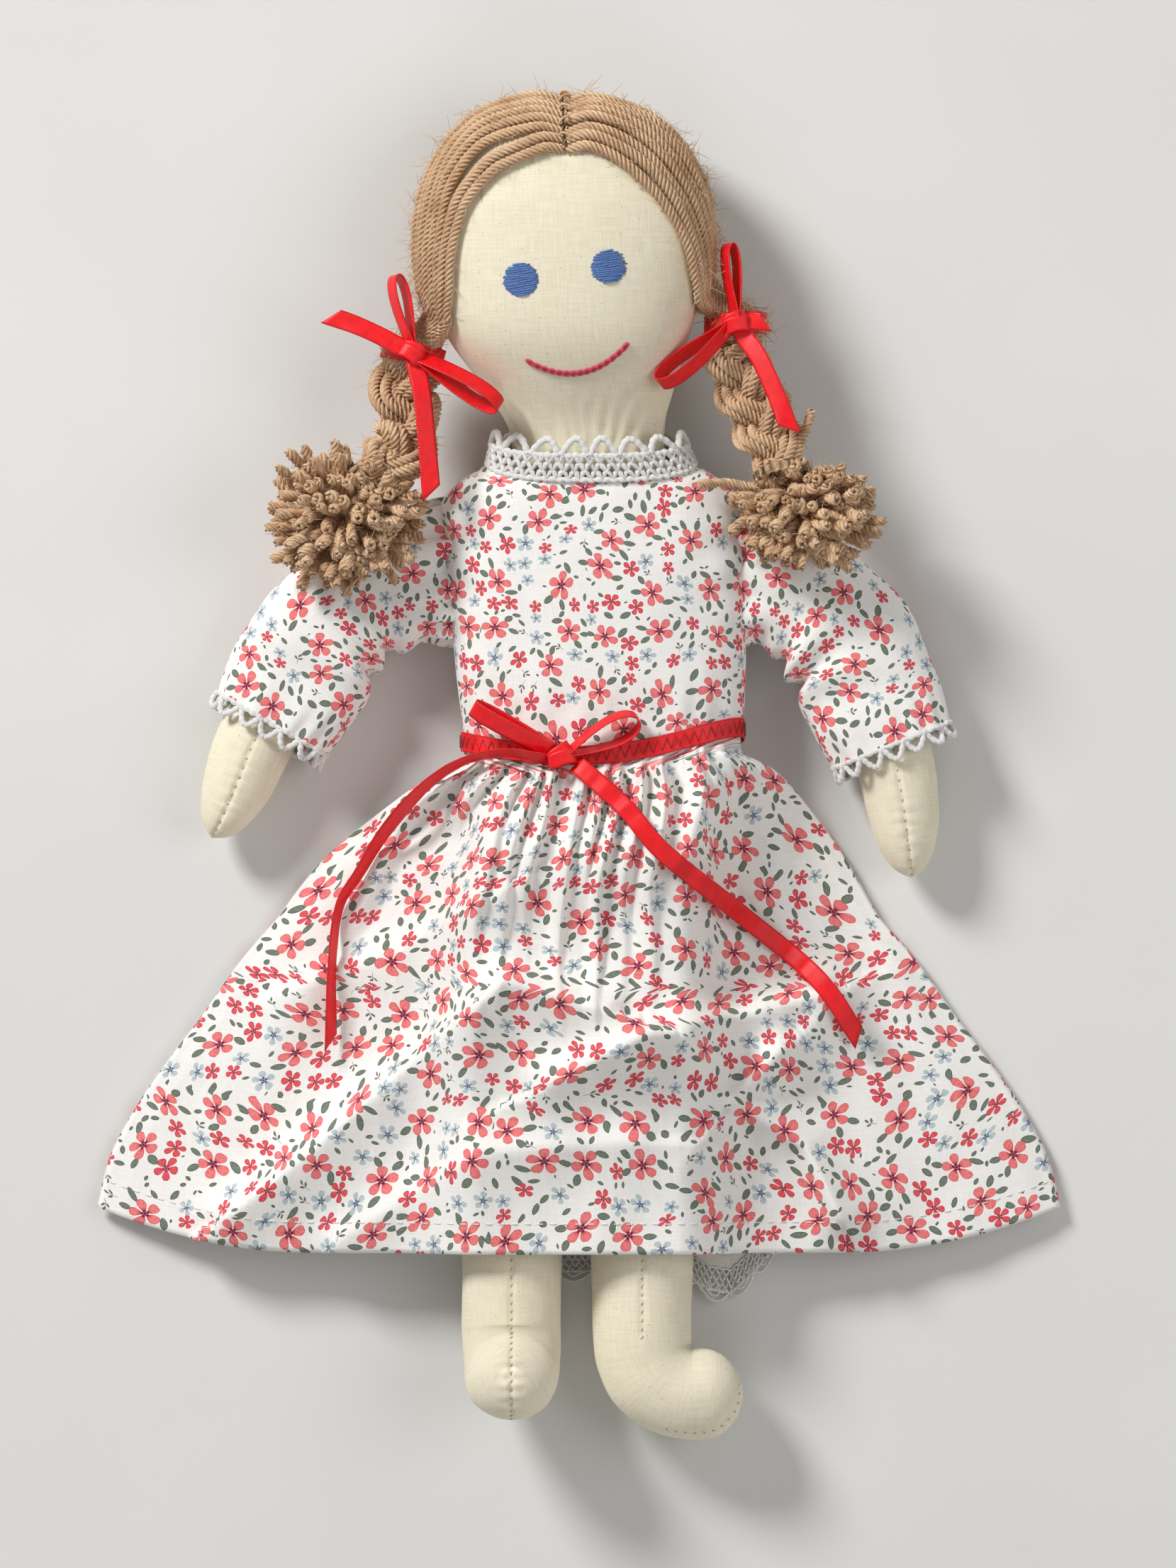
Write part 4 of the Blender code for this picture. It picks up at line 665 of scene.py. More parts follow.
def make_yarn():
    """Wool of four plies; the UV runs 0 to 10 round a strand, so each ply takes 2.5."""
    s = Shader("yarn", "c09a72", 1.0, 0.5)
    s.set({"Sheen Tint": "ecd2b0"})
    uv = s.uv()
    lock = s.noise(s.node("TexCoord", "Object", {}), 110.0, 3.0)
    fibre = s.noise(uv, 2.2, 4.0, (0.55, 2.6, 1.0))
    colour = s.tones(s.math("MULTIPLY_ADD", lock, 0.4, fibre * 0.6), 0.36, 0.64, "c4966e", "f3d4af")
    ply = abs(s.sine(s.split(uv)[1] * (math.pi / 2.5)))
    # Painted shade: the grooves between the plies are darkened towards 85603f; the same ply profile also
    # drives the bump
    colour = s.blend(s.step(ply, 0.62, 0.12) * 0.62, colour, "85603f")
    return s.finish(colour, s.math("MULTIPLY_ADD", ply, 1.3, fibre * 0.6), 0.35, 0.8)


def make_ribbon():
    s = Shader("ribbon", "e0101a", 0.40, 0.12)
    s.set({"Sheen Tint": "ff3030", "Anisotropic": 0.5, "Specular IOR Level": 0.35})
    uv = s.uv()
    along, across, _ = s.split(uv)
    border = s.step(abs(across), 2.40, 2.55)
    dots = s.sine(along * (math.tau / 0.8))
    raised = border * s.math("MULTIPLY_ADD", dots, 0.8, 0.8)
    height = s.math("MULTIPLY_ADD", s.sine(along * (math.tau / 0.28)), 0.12, raised)
    wear = s.noise(uv, 0.30, 3.0)
    colour = s.blend(border * 0.4, s.tones(wear, 0.3, 0.7, "da0c16", "f01820"), "b00814")
    return s.finish(colour, height, 0.09, 0.7, s.range(wear, 0.3, 0.7, 0.34, 0.48))


def make_thread(name, dark, light, roughness, sheen, pitch, deep):
    """Twisted cotton thread, its strands winding along the UVs."""
    s = Shader(name, light, roughness, sheen)
    uv = s.uv()
    along, around, _ = s.split(uv)
    wind = s.math("MULTIPLY_ADD", along, 1.0 / pitch, around * 2.0)
    colour = s.tones(s.noise(uv, 1.5), 0.3, 0.7, dark, light)
    return s.finish(colour, s.sine(wind * math.tau), deep, 0.8)


def make_floor():
    s = Shader("floor", "dcdbd8", 0.85)
    tone = s.noise(s.node("TexCoord", "Object", {}), 6.0, 3.0)
    return s.finish(s.tones(tone, 0.3, 0.7, "d9d8d5", "dfdedb"))


calico = make_calico()
print_cotton = make_print("print", 1.0)
fine_print = make_print("print_fine", 1.22)
lining = make_lining()
yarn = make_yarn()
satin = make_ribbon()
lace_cotton = make_thread("lace", "f7f5f0", "fffefb", 0.9, 0.3, 0.9, 0.14)
blue_thread = make_thread("eye_thread", "2a5296", "5480bd", 0.42, 0.5, 0.7, 0.05)
mouth_thread = make_thread("mouth_thread", "c4143e", "e0305a", 0.5, 0.4, 0.8, 0.08)
red_thread = make_thread("sash_thread", "6f0810", "8f0d17", 0.55, 0.2, 0.4, 0.04)
tan_thread = make_thread("seam_thread", "a9997a", "cbbd9c", 0.7, 0.2, 0.4, 0.04)
white_thread = make_thread("hem_thread", "dcd6cf", "f4f0ec", 0.7, 0.2, 0.4, 0.04)

floor_build = Build()
floor_build.grid([[(-3000, y, -0.3), (3000, y, -0.3)] for y in (-3000, 3000)], False)
floor = floor_build.finish("floor", make_floor(), mend=True)

# Head
# A calico bag whose two panels are seamed at the sides, stuffed and drawn in at the neck.
HEAD = (
    (-0.16, 0.530, 0.56), (0.045, 0.530, 0.57), (0.14, 0.610, 0.68), (0.24, 0.740, 0.81),
    (0.34, 0.865, 0.91), (0.45, 0.960, 0.97), (0.57, 1.000, 1.00), (0.69, 0.975, 0.98),
    (0.79, 0.895, 0.90), (0.88, 0.750, 0.77), (0.945, 0.560, 0.58), (0.985, 0.300, 0.32),
)
NECK_Y = 98.5
HEAD_HEIGHT = 109.5
HEAD_HALF_WIDTH, HEAD_HALF_DEPTH = 44.5, 25.0
HEAD_SQUARE = 0.9
HEAD_POWER = 2.22
HEAD_Z = 28.8
NECK_Z = 18.9


def head_centre(along):
    return 3.0 - 7.3 * smooth(along / 0.42), mix(NECK_Z, HEAD_Z, smooth(along / 0.36))


def head_ring(along):
    width, depth = read(HEAD, along)
    x, z = head_centre(along)
    y = NECK_Y + along * HEAD_HEIGHT
    return oval_at(x, y, z, HEAD_HALF_WIDTH * width, HEAD_HALF_DEPTH * depth, 40, HEAD_SQUARE)


def half_turned(ring):
    """The ring started at its back, so that its UV seam and middle lie back and front."""
    half = len(ring) // 2
    return ring[half:] + ring[:half]


head_build = Build()
stations = [-0.16, -0.1, 0.0, 0.045, 0.09, 0.14, 0.19, 0.24, 0.29, 0.34, 0.4, 0.46, 0.52, 0.58, 0.64]
stations += [0.70, 0.75, 0.80, 0.845, 0.885, 0.92, 0.95, 0.972, 0.988]
rings = [half_turned(head_ring(along)) for along in stations]
tip = Vector((head_centre(1.0)[0], NECK_Y + HEAD_HEIGHT, HEAD_Z))
head_build.grid(rings, True, None, caps=True, tips=(None, tip))
head = head_build.finish("head", calico, levels=2, mend=True)
bake(head)


def head_dents(place, normal):
    """Soft stuffing lumps, and fine gathers where the neck is drawn in."""
    lumps = wrinkle(place, 22.0) * 0.35
    neck = smooth((126.0 - place.y) / 24.0)
    angle = math.atan2(place.x - 1.0, place.z - 22.0)
    gathers = math.sin(angle * 23.0 + wrinkle(place, 9.0) * 3.0) * 0.32 * neck
    return normal * (lumps + gathers)


shift(head, head_dents)
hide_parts("head_cover", "head_stuffing")
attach(head, "head")
head_tree = surface_tree(head)

# Face
# Satin-stitched eyes with ragged ends and a chain-stitched smile, on the head's own surface.
FACE_TILT = math.radians(8.5)
EYES_Y = 153.8


def on_face(across, down, lift):
    """Place by its offset from the middle between the eyes, with the face's tilt."""
    middle = head_centre((EYES_Y - NECK_Y) / HEAD_HEIGHT)[0]
    x = middle + across * math.cos(FACE_TILT) + down * math.sin(FACE_TILT)
    y = EYES_Y + across * math.sin(FACE_TILT) - down * math.cos(FACE_TILT)
    return Vector((x, y, drop(head_tree, x, y) + lift))


chance = random.Random(7)
for side, sign in SIDES.items():
    build = Build()
    for layer, count, lift in ((0, 17, -0.05), (1, 15, 0.22)):
        for row in range(count):
            spot = 2.0 * (row + 0.5) / count - 1.0
            reach = 5.35 * math.sqrt(max(1.0 - spot * spot, 0.03)) * (1.0 - 0.06 * layer)
            down = spot * 5.05 + chance.uniform(-0.08, 0.08)
            low = -reach - chance.uniform(-0.25, 0.55)
            high = reach + chance.uniform(-0.25, 0.55)
            drift = chance.uniform(-0.22, 0.22)
            points = []
            for step in range(9):
                share = step / 8
                bulge = (0.42 + lift) * (1.0 - (2 * share - 1) ** 4) - 0.12
                across = sign * 13.7 + mix(low, high, share)
                points.append(on_face(across, down + drift * (2 * share - 1), bulge))
            thick = (0.30 + 0.05 * layer) * chance.uniform(0.85, 1.12)
            build.tube(points, thick, turn=chance.uniform(0, 6))
    eye = build.finish("eye_" + side + "_stitches", blue_thread)
    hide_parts("eye_" + side)
    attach(eye, "head")

build = Build()
links = 15
for link in range(links):
    start = 2.0 * link / links - 1.0
    end = 2.0 * (link + 1.35) / links - 1.0
    for bow in (-1.0, 1.0):
        points = []
        for step in range(7):
            share = step / 6
            across = min(mix(start, end, share), 1.03)
            apart = bow * 0.62 * math.sin(math.pi * min(share * 1.1, 1.0))
            down = 24.8 + 6.4 * (1.0 - across * across) + apart
            points.append(on_face(across * 15.9, down, 0.35 + 0.35 * share))
        build.tube(points, 0.42)
mouth = build.finish("mouth_stitches", mouth_thread)
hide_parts("mouth")
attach(mouth, "head")

# Hair
# Plied yarn laid side by side from the stitched parting, round the head to each bow.
HAIR_CENTRE = Vector((-4.3, 160.0, HEAD_Z))
BOW_PLACES = {"left": Vector((49.0, 139.0, 26.2)), "right": Vector((-51.6, 129.6, 26.2))}
# Hairline over the face and outline round the side of the head, both from the parting
HAIRLINES = {
    "left": (
        (-3.5, 193.6), (6.0, 192.6), (15.6, 187), (27.2, 175.2), (32.8, 165), (35.8, 153), (37.4, 145),
    ),
    "right": (
        (-5.2, 193.8), (-12.4, 192.0), (-19.0, 189.4), (-25.4, 186.6), (-35.0, 175.4), (-38.6, 163.6),
        (-40.0, 149.0), (-40.6, 138.0),
    ),
}
OUTLINES = {
    "left": (
        (-3.4, 209.5), (5.4, 209.5), (21.6, 205), (33.8, 193.4), (40.5, 179.8), (44.0, 164.9), (47.5, 151.5),
    ),
    "right": (
        (-5.2, 209.5), (-21, 207.1), (-33, 201.2), (-44, 190), (-50.2, 174.4), (-52, 155.2), (-52.4, 140.4),
    ),
}


def inside_head(place, grow):
    """Whether a place lies in the head, grown all round by a thickness of hair."""
    along = (place.y - max(0.0, (place.y - 160.9) / 47.1) * grow - NECK_Y) / HEAD_HEIGHT
    if along >= 0.9995:
        return False
    width, depth = read(HEAD, min(along, 0.985))
    if along > 0.985:
        width, depth = (value * math.sqrt((1.0 - along) / 0.015) for value in (width, depth))
    middle, z = head_centre(along)
    across = abs(place.x - middle) / (HEAD_HALF_WIDTH * width + grow)
    rise = abs(place.z - z) / (HEAD_HALF_DEPTH * depth + grow)
    return across ** HEAD_POWER + rise ** HEAD_POWER < 1.0


def farthest(inside, low, high, steps):
    """Highest value between low and high that still lies inside."""
    for _ in range(steps):
        middle = (low + high) / 2
        low, high = (middle, high) if inside(middle) else (low, middle)
    return low


def on_head(way, grow):
    """Point of the grown head in a direction from its middle."""
    return HAIR_CENTRE + way * farthest(lambda t: inside_head(HAIR_CENTRE + way * t, grow), 8.0, 80.0, 14)


def on_front(x, y, grow):
    """Point of the grown head's front over a place."""
    z = farthest(lambda height: inside_head(Vector((x, y, height)), grow), HEAD_Z - 8.0, 70.0, 16)
    return Vector((x, y, z))


def slerped(a, b, share):
    angle = max(a.angle(b), 1e-4)
    return (a * math.sin((1 - share) * angle) + b * math.sin(share * angle)).normalized()


def key_ways(side):
    """Directions from the head's middle along the hairline, the outline and the back."""
    front = [on_front(x, y, 1.6) for x, y in HAIRLINES[side]]
    outline = [Vector((x, y, HEAD_Z + 1.5 - 0.5 * k)) for k, (x, y) in enumerate(OUTLINES[side])]
    spin = math.radians(-113.0)
    start = Vector((SIDES[side] * 0.03, math.cos(spin), math.sin(spin))).normalized()
    end = (BOW_PLACES[side] + Vector((-SIDES[side] * 4.0, 2.0, -11.0)) - HAIR_CENTRE).normalized()
    back = [HAIR_CENTRE + slerped(start, end, k / 8) * 40.0 for k in range(9)]
    lines = [curve(points, 15) for points in (front, outline, back)]
    return [[(point - HAIR_CENTRE).normalized() for point in line] for line in lines]


FRONT_SHARE = 0.266


def hair_route(side, ways_of, share, grow, count, apart=0.0):
    """Strand at a share from the hairline (0) round to the parting's end at the back (1)."""
    bow = BOW_PLACES[side]
    front, outline, back = ways_of
    points = []
    for step in range(15):
        t = step / 14
        moved = share + apart * math.sin(math.pi * min(t / 0.62, 1.0)) ** 1.3
        if moved < FRONT_SHARE:
            way = slerped(front[step], outline[step], moved / FRONT_SHARE)
        else:
            way = slerped(outline[step], back[step], (moved - FRONT_SHARE) / (1.0 - FRONT_SHARE))
        point = on_head(way, grow - 1.6 * fall(t / 0.05))
        point.z = max(point.z, 1.9)
        points.append(point)
    around = math.radians(mix(168.0, -112.0, share ** 0.8))
    offset = Vector((SIDES[side] * math.cos(around) * 7.4, 0.0, math.sin(around) * 6.6))
    points.append(bow + offset * 1.05 + Vector((0.0, 1.5, 0.6)))
    points.append(bow + offset * 0.9 + Vector((0.0, -5.0, 0.0)))
    return curve(points, count)


YARN_PLIES = (12, 4, 6.8, 0.36)


def add_fuzz(name, routes, count, radius, body, seed, long):
    """Fine loose fibres standing off the yarn."""
    chance = random.Random(seed)
    build = Build()
    for _ in range(count):
        route = routes[chance.randrange(len(routes))]
        k = chance.randrange(2, len(route) - 2)
        way = (route[k + 1] - route[k - 1]).normalized()
        out = Vector([chance.gauss(0, 1) for _ in range(3)])
        out = (out - way * out.dot(way)).normalized()
        lean = way * chance.uniform(-1.2, 1.2)
        reach = long * chance.uniform(0.25, 1.0)
        bend = Vector([chance.gauss(0, 0.35) for _ in range(3)])
        start = route[k] + out * radius * 0.8
        knee = start + (out * 0.5 + lean * 0.4) * reach * 0.5
        fibre = curve([start, knee, start + (out * 0.6 + lean + bend) * reach], 5)
        keep_above(fibre, 0.2)
        build.tube(fibre, [0.12, 0.11, 0.10, 0.08, 0.05], 3)
    fuzz = build.finish(name, yarn)
    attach(fuzz, body)
    return fuzz


STRAND = 1.62
STRANDS = 33
PARTED = {"left": 0.0, "right": 0.034}
for side in SIDES:
    chance = random.Random(11 if side == "left" else 23)
    ways_of = key_ways(side)
    build = Build()
    routes = []
    for k in range(STRANDS):
        share = k / (STRANDS - 1)
        apart = (PARTED[side] if k > 1 else 0.0) * fall((share - 0.06) / 0.5)
        grow = 1.6 + 0.4 * (k % 2) + chance.uniform(-0.15, 0.15)
        route = hair_route(side, ways_of, share, grow, 190, apart)
        lean = curve([scatter(chance, 0.35) for _ in range(8)], 190)
        route = [point + move for point, move in zip(route, lean)]
        routes.append(route)
        thick = STRAND * chance.uniform(0.96, 1.06)
        radii = [thick * mix(1.08, 0.90, smooth((i - 60) / 120)) for i in range(190)]
        build.tube(route, radii, *YARN_PLIES, chance.uniform(0, 6))
    hair = build.finish("hair_" + side + "_yarn", yarn)
    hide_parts("hair_" + side)
    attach(hair, "head")
    build = Build()
    rows = []
    for k in range(25):
        share = mix(0.05 + PARTED[side] * 1.6, 1.0, k / 24)
        rows.append(hair_route(side, ways_of, share, 0.35, 50)[:-4])
    build.grid(rows, False)
    cap = build.finish("hair_" + side + "_cap", yarn, wall=0.5, mend=True)
    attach(cap, "head")
    add_fuzz("hair_" + side + "_fuzz", routes[:24], 2000, STRAND, "head", 3, 6.0)


def parting_line(start, end, count, grow):
    """Line over the head's middle between two angles above the floor."""
    spins = np.radians(np.linspace(start, end, count))
    return [on_head(Vector((0.0, math.cos(spin), math.sin(spin))), grow) for spin in spins]


build = Build()
build.tube(parting_line(32, -112, 40, 0.6), 1.3, 12, 4, 6.8, 0.3)
top_line = parting_line(33, -40, 60, 2.4)
STITCH = ((-1.0, -0.6), (-0.6, 0.55), (0.0, 0.75), (0.6, 0.55), (1.0, -0.6))
for k in range(2, 58, 5):
    point, way = top_line[k], (top_line[k + 1] - top_line[k - 1]).normalized()
    out = (point - HAIR_CENTRE).normalized()
    side_way = way.cross(out).normalized()
    lean = 0.9 if (k // 5) % 2 else -0.4
    ends = [point + (side_way * 1.7 + way * lean) * across + out * lift for across, lift in STITCH]
    build.tube(curve(ends, 11), 0.42)
parting = build.finish("parting_thread", yarn)
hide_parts("parting_stitch")
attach(parting, "head")

# Braids and tassels
# Three bundles of yarn cross over each other down to a wound tie, then spread as cut ends.


def cut_yarn(build, route, thick, chance):
    """Four twisted plies that loosen towards the cut end."""
    normal = ways(route)[0].orthogonal().normalized()
    spin = chance.uniform(0, math.tau)
    loose = [chance.uniform(0.1, 0.8) for _ in range(4)]
    last = len(route) - 1
    plies = [[] for _ in loose]
    run = 0.0
    for k, (point, way) in enumerate(zip(route, ways(route))):
        run += (point - route[max(k - 1, 0)]).length
        normal = (normal - way * normal.dot(way)).normalized()
        other = way.cross(normal)
        opened = smooth((k / last - 0.62) / 0.38)
        for number, (ply, apart) in enumerate(zip(plies, loose)):
            turn = spin + math.tau * (number / 4 + run / 7.0)
            reach = thick * (0.44 + opened * apart * 0.5)
            place = point + (normal * math.cos(turn) + other * math.sin(turn)) * reach
            place.z = max(place.z, 28.0)
            ply.append(place)
    for ply in plies:
        radii = [thick * (0.60 + 0.06 * math.sin(k * 1.3 + spin)) for k in range(last + 1)]
        radii[-3:] = [radii[-3] * 0.92, radii[-2] * 0.75, radii[-1] * 0.42]
        build.tube(ply, radii, 5)


BRAID_STRAND = 1.72
BRAID_ROUTES = {
    "left": ((49, 139, 26.2), (49, 126.8, 27.1), (55.3, 112.9, 30.7), (60.7, 101.2, 35.2), (62.5, 94, 37.9)),
    "right": (
        (-51.6, 129.6, 26.2), (-54.7, 117.5, 27.1), (-52.5, 104.9, 30.7), (-57.9, 95.4, 35.2),
        (-65.5, 89.1, 37.9),
    ),
}


def cross_frame(way):
    side = level_side(way)
    return side, side.cross(way).normalized()


for side in SIDES:
    chance = random.Random(31 if side == "left" else 37)
    spine = curve(BRAID_ROUTES[side], 90)
    tangents = ways(spine)
    build = Build()
    routes = []
    for bundle in range(3):
        for member in range(7):
            turn = math.tau * member / 6 if member < 6 else 0.0
            spread = 3.1 if member < 6 else 0.0
            route = []
            for i, (point, way) in enumerate(zip(spine, tangents)):
                share = i / 89
                cycle = math.tau * (1.18 * share + bundle / 3 + (0.06 if side == "left" else 0.30))
                grow = smooth(share / 0.25 + 0.35) * mix(1.0, 0.60, smooth((share - 0.78) / 0.22))
                lateral = 6.3 * math.sin(cycle) * grow
                depth = 3.1 * math.sin(2 * cycle) * grow
                across, rise = cross_frame(way)
                roll = turn + share * 1.4
                packed = spread * (0.55 + 0.45 * grow)
                lateral += math.cos(roll) * 1.15 * packed
                depth += math.sin(roll) * 0.92 * packed
                route.append(point + across * lateral - rise * depth)
            route = spaced(route, 88)
            routes.append(route)
            build.tube(route, BRAID_STRAND * chance.uniform(0.95, 1.07), *YARN_PLIES, chance.uniform(0, 6))
    braid = build.finish("braid_" + side + "_yarn", yarn)
    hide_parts("braid_" + side)
    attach(braid, "braid_" + side)
    add_fuzz("braid_" + side + "_fuzz", routes, 600, BRAID_STRAND, "braid_" + side, 5, 4.0)

    end, way = spine[-1], tangents[-1]
    across, rise = cross_frame(way)
    build = Build()
    points = []
    for step in range(73):
        turn = math.tau * step / 18
        place = end + way * (0.9 + 2.6 * step / 72)
        points.append(place + across * 8.1 * math.cos(turn) + rise * 5.9 * math.sin(turn))
    build.tube(points, 0.8, 9, 3, 4.0, 0.25)
    tie = build.finish("braid_tie_" + side + "_thread", yarn)
    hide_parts("braid_tie_" + side)
    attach(tie, "braid_" + side)

TASSELS = {
    "left": (Vector((71.0, 79.0, 37.0)), (26.0, 19.5, 12.5), 128),
    "right": (Vector((-72.5, 78.0, 37.0)), (26.5, 25.0, 12.5), 150),
}
# Whole strands that have slipped out of the left tassel
STRAYS = {
    "left": (
        (((54, 88, 33), (46, 89, 33.5), (37.5, 88.5, 38.5)), 46),
        (((66, 98, 39), (70.5, 105, 38), (72.5, 111.5, 36)), 36),
    ),
}
for side in SIDES:
    chance = random.Random(41 if side == "left" else 43)
    centre, size, count = TASSELS[side]
    spine = curve(BRAID_ROUTES[side], 16)
    way = ways(spine)[-1]
    root = spine[-1] + way * 4.5
    build = Build()
    routes = []
    for k in range(count):
        share = (k + 0.5) / count
        if share < 0.74:
            flat = mix(0.12, 1.0, math.sqrt(share / 0.74))
            height = math.sqrt(1.0 - flat * flat)
        else:
            flat = mix(1.0, 0.86, (share - 0.74) / 0.26)
            height = -math.sqrt(1.0 - flat * flat)
        turn = 2.39996 * k + chance.uniform(-0.3, 0.3)
        spot = Vector((flat * math.cos(turn), flat * math.sin(turn), height))
        reach = chance.uniform(0.82, 1.02)
        if chance.random() < 0.12:
            reach *= 1.07
        end = centre + Vector((spot.x * size[0], spot.y * size[1], spot.z * size[2])) * reach
        end += scatter(chance, 2.4)
        base = centre.lerp(root, 0.18) + Vector((spot.x * 5.0, spot.y * 4.0, -6.0 + spot.z * 2.0))
        knee = base.lerp(end, 0.55) + Vector((0, 0, 1.0 - 3.0 * flat)) + scatter(chance, 2.2)
        route = curve((root.lerp(base, 0.7), base, knee, end), 24)
        keep_above(route, 28.6)
        routes.append(route)
        cut_yarn(build, route, 1.62 * chance.uniform(0.85, 1.15), chance)
    for places, count in STRAYS.get(side, ()):
        build.tube(curve((root,) + places, count), 1.6, 9, 3, 5.0, 0.34)
    tassel = build.finish("tassel_" + side + "_yarn", yarn)
    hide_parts("tassel_" + side)
    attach(tassel, "braid_" + side)
    ends = [route[12:] for route in routes]
    add_fuzz("tassel_" + side + "_fuzz", ends, 1500, 1.9, "braid_" + side, 9, 3.6)

# Hair bows
# Satin ribbon tied round each braid's root: two loops, two cut tails and a knot over them.


def loop_points(knot, reach, width_way, opening):
    """Teardrop loop out along reach, open across the ribbon's width."""
    along = reach.normalized()
    open_way = width_way.cross(along).normalized()
    if open_way.z < -0.05:
        open_way = -open_way
    points = []
    for step in range(34):
        t = math.pi * step / 33
        out = math.sin(t)
        spread = -math.cos(t) * out * opening / 2
        points.append(knot + along * reach.length * (0.06 + 0.94 * out) + open_way * spread)
    return points


def tilted(reach, tilt):
    """Width of a ribbon that runs along reach, turned up by an angle."""
    side = level_side(reach.normalized())
    return (side * math.cos(tilt) + UP * math.sin(tilt)).normalized()


RIBBON_WIDTH, RIBBON_THICK = 5.9, 0.35


def add_loop(build, knot, reach, tilt, opening, width=RIBBON_WIDTH):
    reach = Vector(reach)
    width_way = tilted(reach, tilt)
    build.ribbon(loop_points(knot, reach, width_way, opening), width_way, width, RIBBON_THICK)


def add_knot(build, knot, way, wide=3.5, thick=2.5):
    """Ribbon wrapped tight over the middle, creased by the pull."""
    for turn, lift in ((0.16, 0.0), (-0.14, 0.35)):
        axis = (Matrix.Rotation(turn, 3, "Z") @ way).normalized()
        side = level_side(axis)
        points = []
        for step in range(33):
            angle = math.tau * step / 32 - math.pi / 2
            across = power(math.cos(angle), 0.7) * (wide + lift)
            crease = 0.25 * math.sin(3 * angle + turn * 20)
            rise = power(math.sin(angle), 0.7) * (thick + lift) + crease * 0.4
            points.append(knot + side * across + UP * rise + axis * (crease + 0.8 * turn / 0.15))
        build.ribbon(points, axis, 4.6, 0.4)


# Knot, its direction, loops as (reach, tilt, opening) and tails as offsets from the knot
BOWS = {
    "left": (
        Vector((49.0, 139.0, 37.6)), Vector((-0.3, 0.95, 0.0)),
        (((-24.0, -19.0, 3.5), 0.85, 13.5), ((-2.2, 24.5, -0.5), 1.1, 8.0)),
        (
            ((0, 0, 0), (3.2, -5.5, 1.0), (7.0, -11.0, 3.0), (12.5, -23, 5.2), (16.5, -33.5, 6.5)),
            ((0, 0, 0), (3.0, 0.6, 0.3), (9.0, 0.2, 0.2)),
        ),
    ),
    "right": (
        Vector((-51.6, 129.6, 37.6)), Vector((0.5, 0.86, 0.0)),
        (((27.0, -17.0, 3.5), 0.80, 12.5), ((-5.5, 24.0, -0.5), 1.1, 9.0)),
        (
            ((0, 0, 0), (-5, 2.2, 0.6), (-10, 5.0, 0.6), (-18, 8.6, 0.3), (-25.5, 11.2, -0.3)),
            ((0, 0, 0), (1.4, -6, 1.0), (3.0, -14, 3.0), (4.4, -28, 5.0), (5.8, -44, 6.0)),
        ),
    ),
}
for side in SIDES:
    knot, way, loops, tails = BOWS[side]
    way = way.normalized()
    build = Build()
    for reach, tilt, opening in loops:
        add_loop(build, knot, reach, tilt, opening)
    for turn, tail in zip((-1, 1), tails):
        route = curve([knot + Vector(point) for point in tail], 30)
        twists = [0.35 * turn * math.sin(math.pi * i / 29) for i in range(30)]
        across = [tilted(step, twist) for step, twist in zip(ways(route), twists)]
        build.ribbon(route, across, RIBBON_WIDTH, RIBBON_THICK, 2.4 * turn)
    spine = curve(BRAID_ROUTES[side], 64)
    way_down = ways(spine)[0]
    across, rise = cross_frame(way_down)
    for wrap in (0.0, 0.5):
        route = []
        for step in range(49):
            turn = math.tau * step / 48
            swell = 9.3 + 0.35 * math.sin(turn * 3 + wrap * 4) + wrap * 0.5
            drift = way_down * (wrap * 1.4 + 0.5 * math.sin(turn + wrap * 2))
            route.append(spine[0] + drift + (across * math.sin(turn) + rise * math.cos(turn) * 0.97) * swell)
        build.ribbon(route, way_down, 5.6, RIBBON_THICK)
    add_knot(build, knot, way)
    bow = build.finish("hair_bow_" + side + "_ribbon", satin)
    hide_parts("hair_bow_" + side)
    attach(bow, "head")

# Torso, arms and legs
# Stuffed calico forms. Each is one closed skin with soft lumps, drawn in along its seams.
WAIST_X, WAIST_Y = 7.5, 8.0
BODY_HEIGHT = 90.5
TORSO_Z = 18.5
BODICE_Z = 18.3


def centre_x(y):
    if y >= WAIST_Y:
        return mix(WAIST_X, 3.8, smooth((y - WAIST_Y) / BODY_HEIGHT))
    return WAIST_X * smooth((y + 50.0) / 58.0)


TORSO = (
    (-0.10, 0.940, 0.90), (0.0, 0.960, 0.93), (0.30, 0.980, 1.00), (0.60, 1.000, 0.97), (0.78, 0.980, 0.92),
    (0.89, 0.840, 0.89), (0.98, 0.645, 0.88),
)
HIP_Y = -40.0
build = Build()
rings = []
for share in (0.96, 0.85, 0.62, 0.32):
    size = math.sqrt(1.0 - share ** 2)
    half_width = 35.7 * (0.55 + 0.45 * size)
    rings.append(oval_at(0.0, HIP_Y - 15.5 * share, TORSO_Z, half_width, 15.5 * size, 32, 0.8))
for i in range(13):
    y = HIP_Y + i * 4.0
    rings.append(oval_at(centre_x(y), y, TORSO_Z, mix(35.7, 36.5, i / 12), 15.0, 32, 0.8))
for i in range(1, 17):
    along = i / 16 * 0.975
    width, depth = read(TORSO, along)
    y = WAIST_Y + along * BODY_HEIGHT
    rings.append(oval_at(centre_x(y), y, TORSO_Z, 38.0 * width, 15.5 * depth, 32, 0.8))
build.grid([half_turned(ring) for ring in rings], caps=True)
torso = build.finish("torso", calico, mend=True, levels=1)
bake(torso)
shift(torso, lambda place, normal: normal * (wrinkle(place, 16.0) * 0.4 - 0.3))
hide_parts("torso_cover", "torso_stuffing")
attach(torso, "upper")

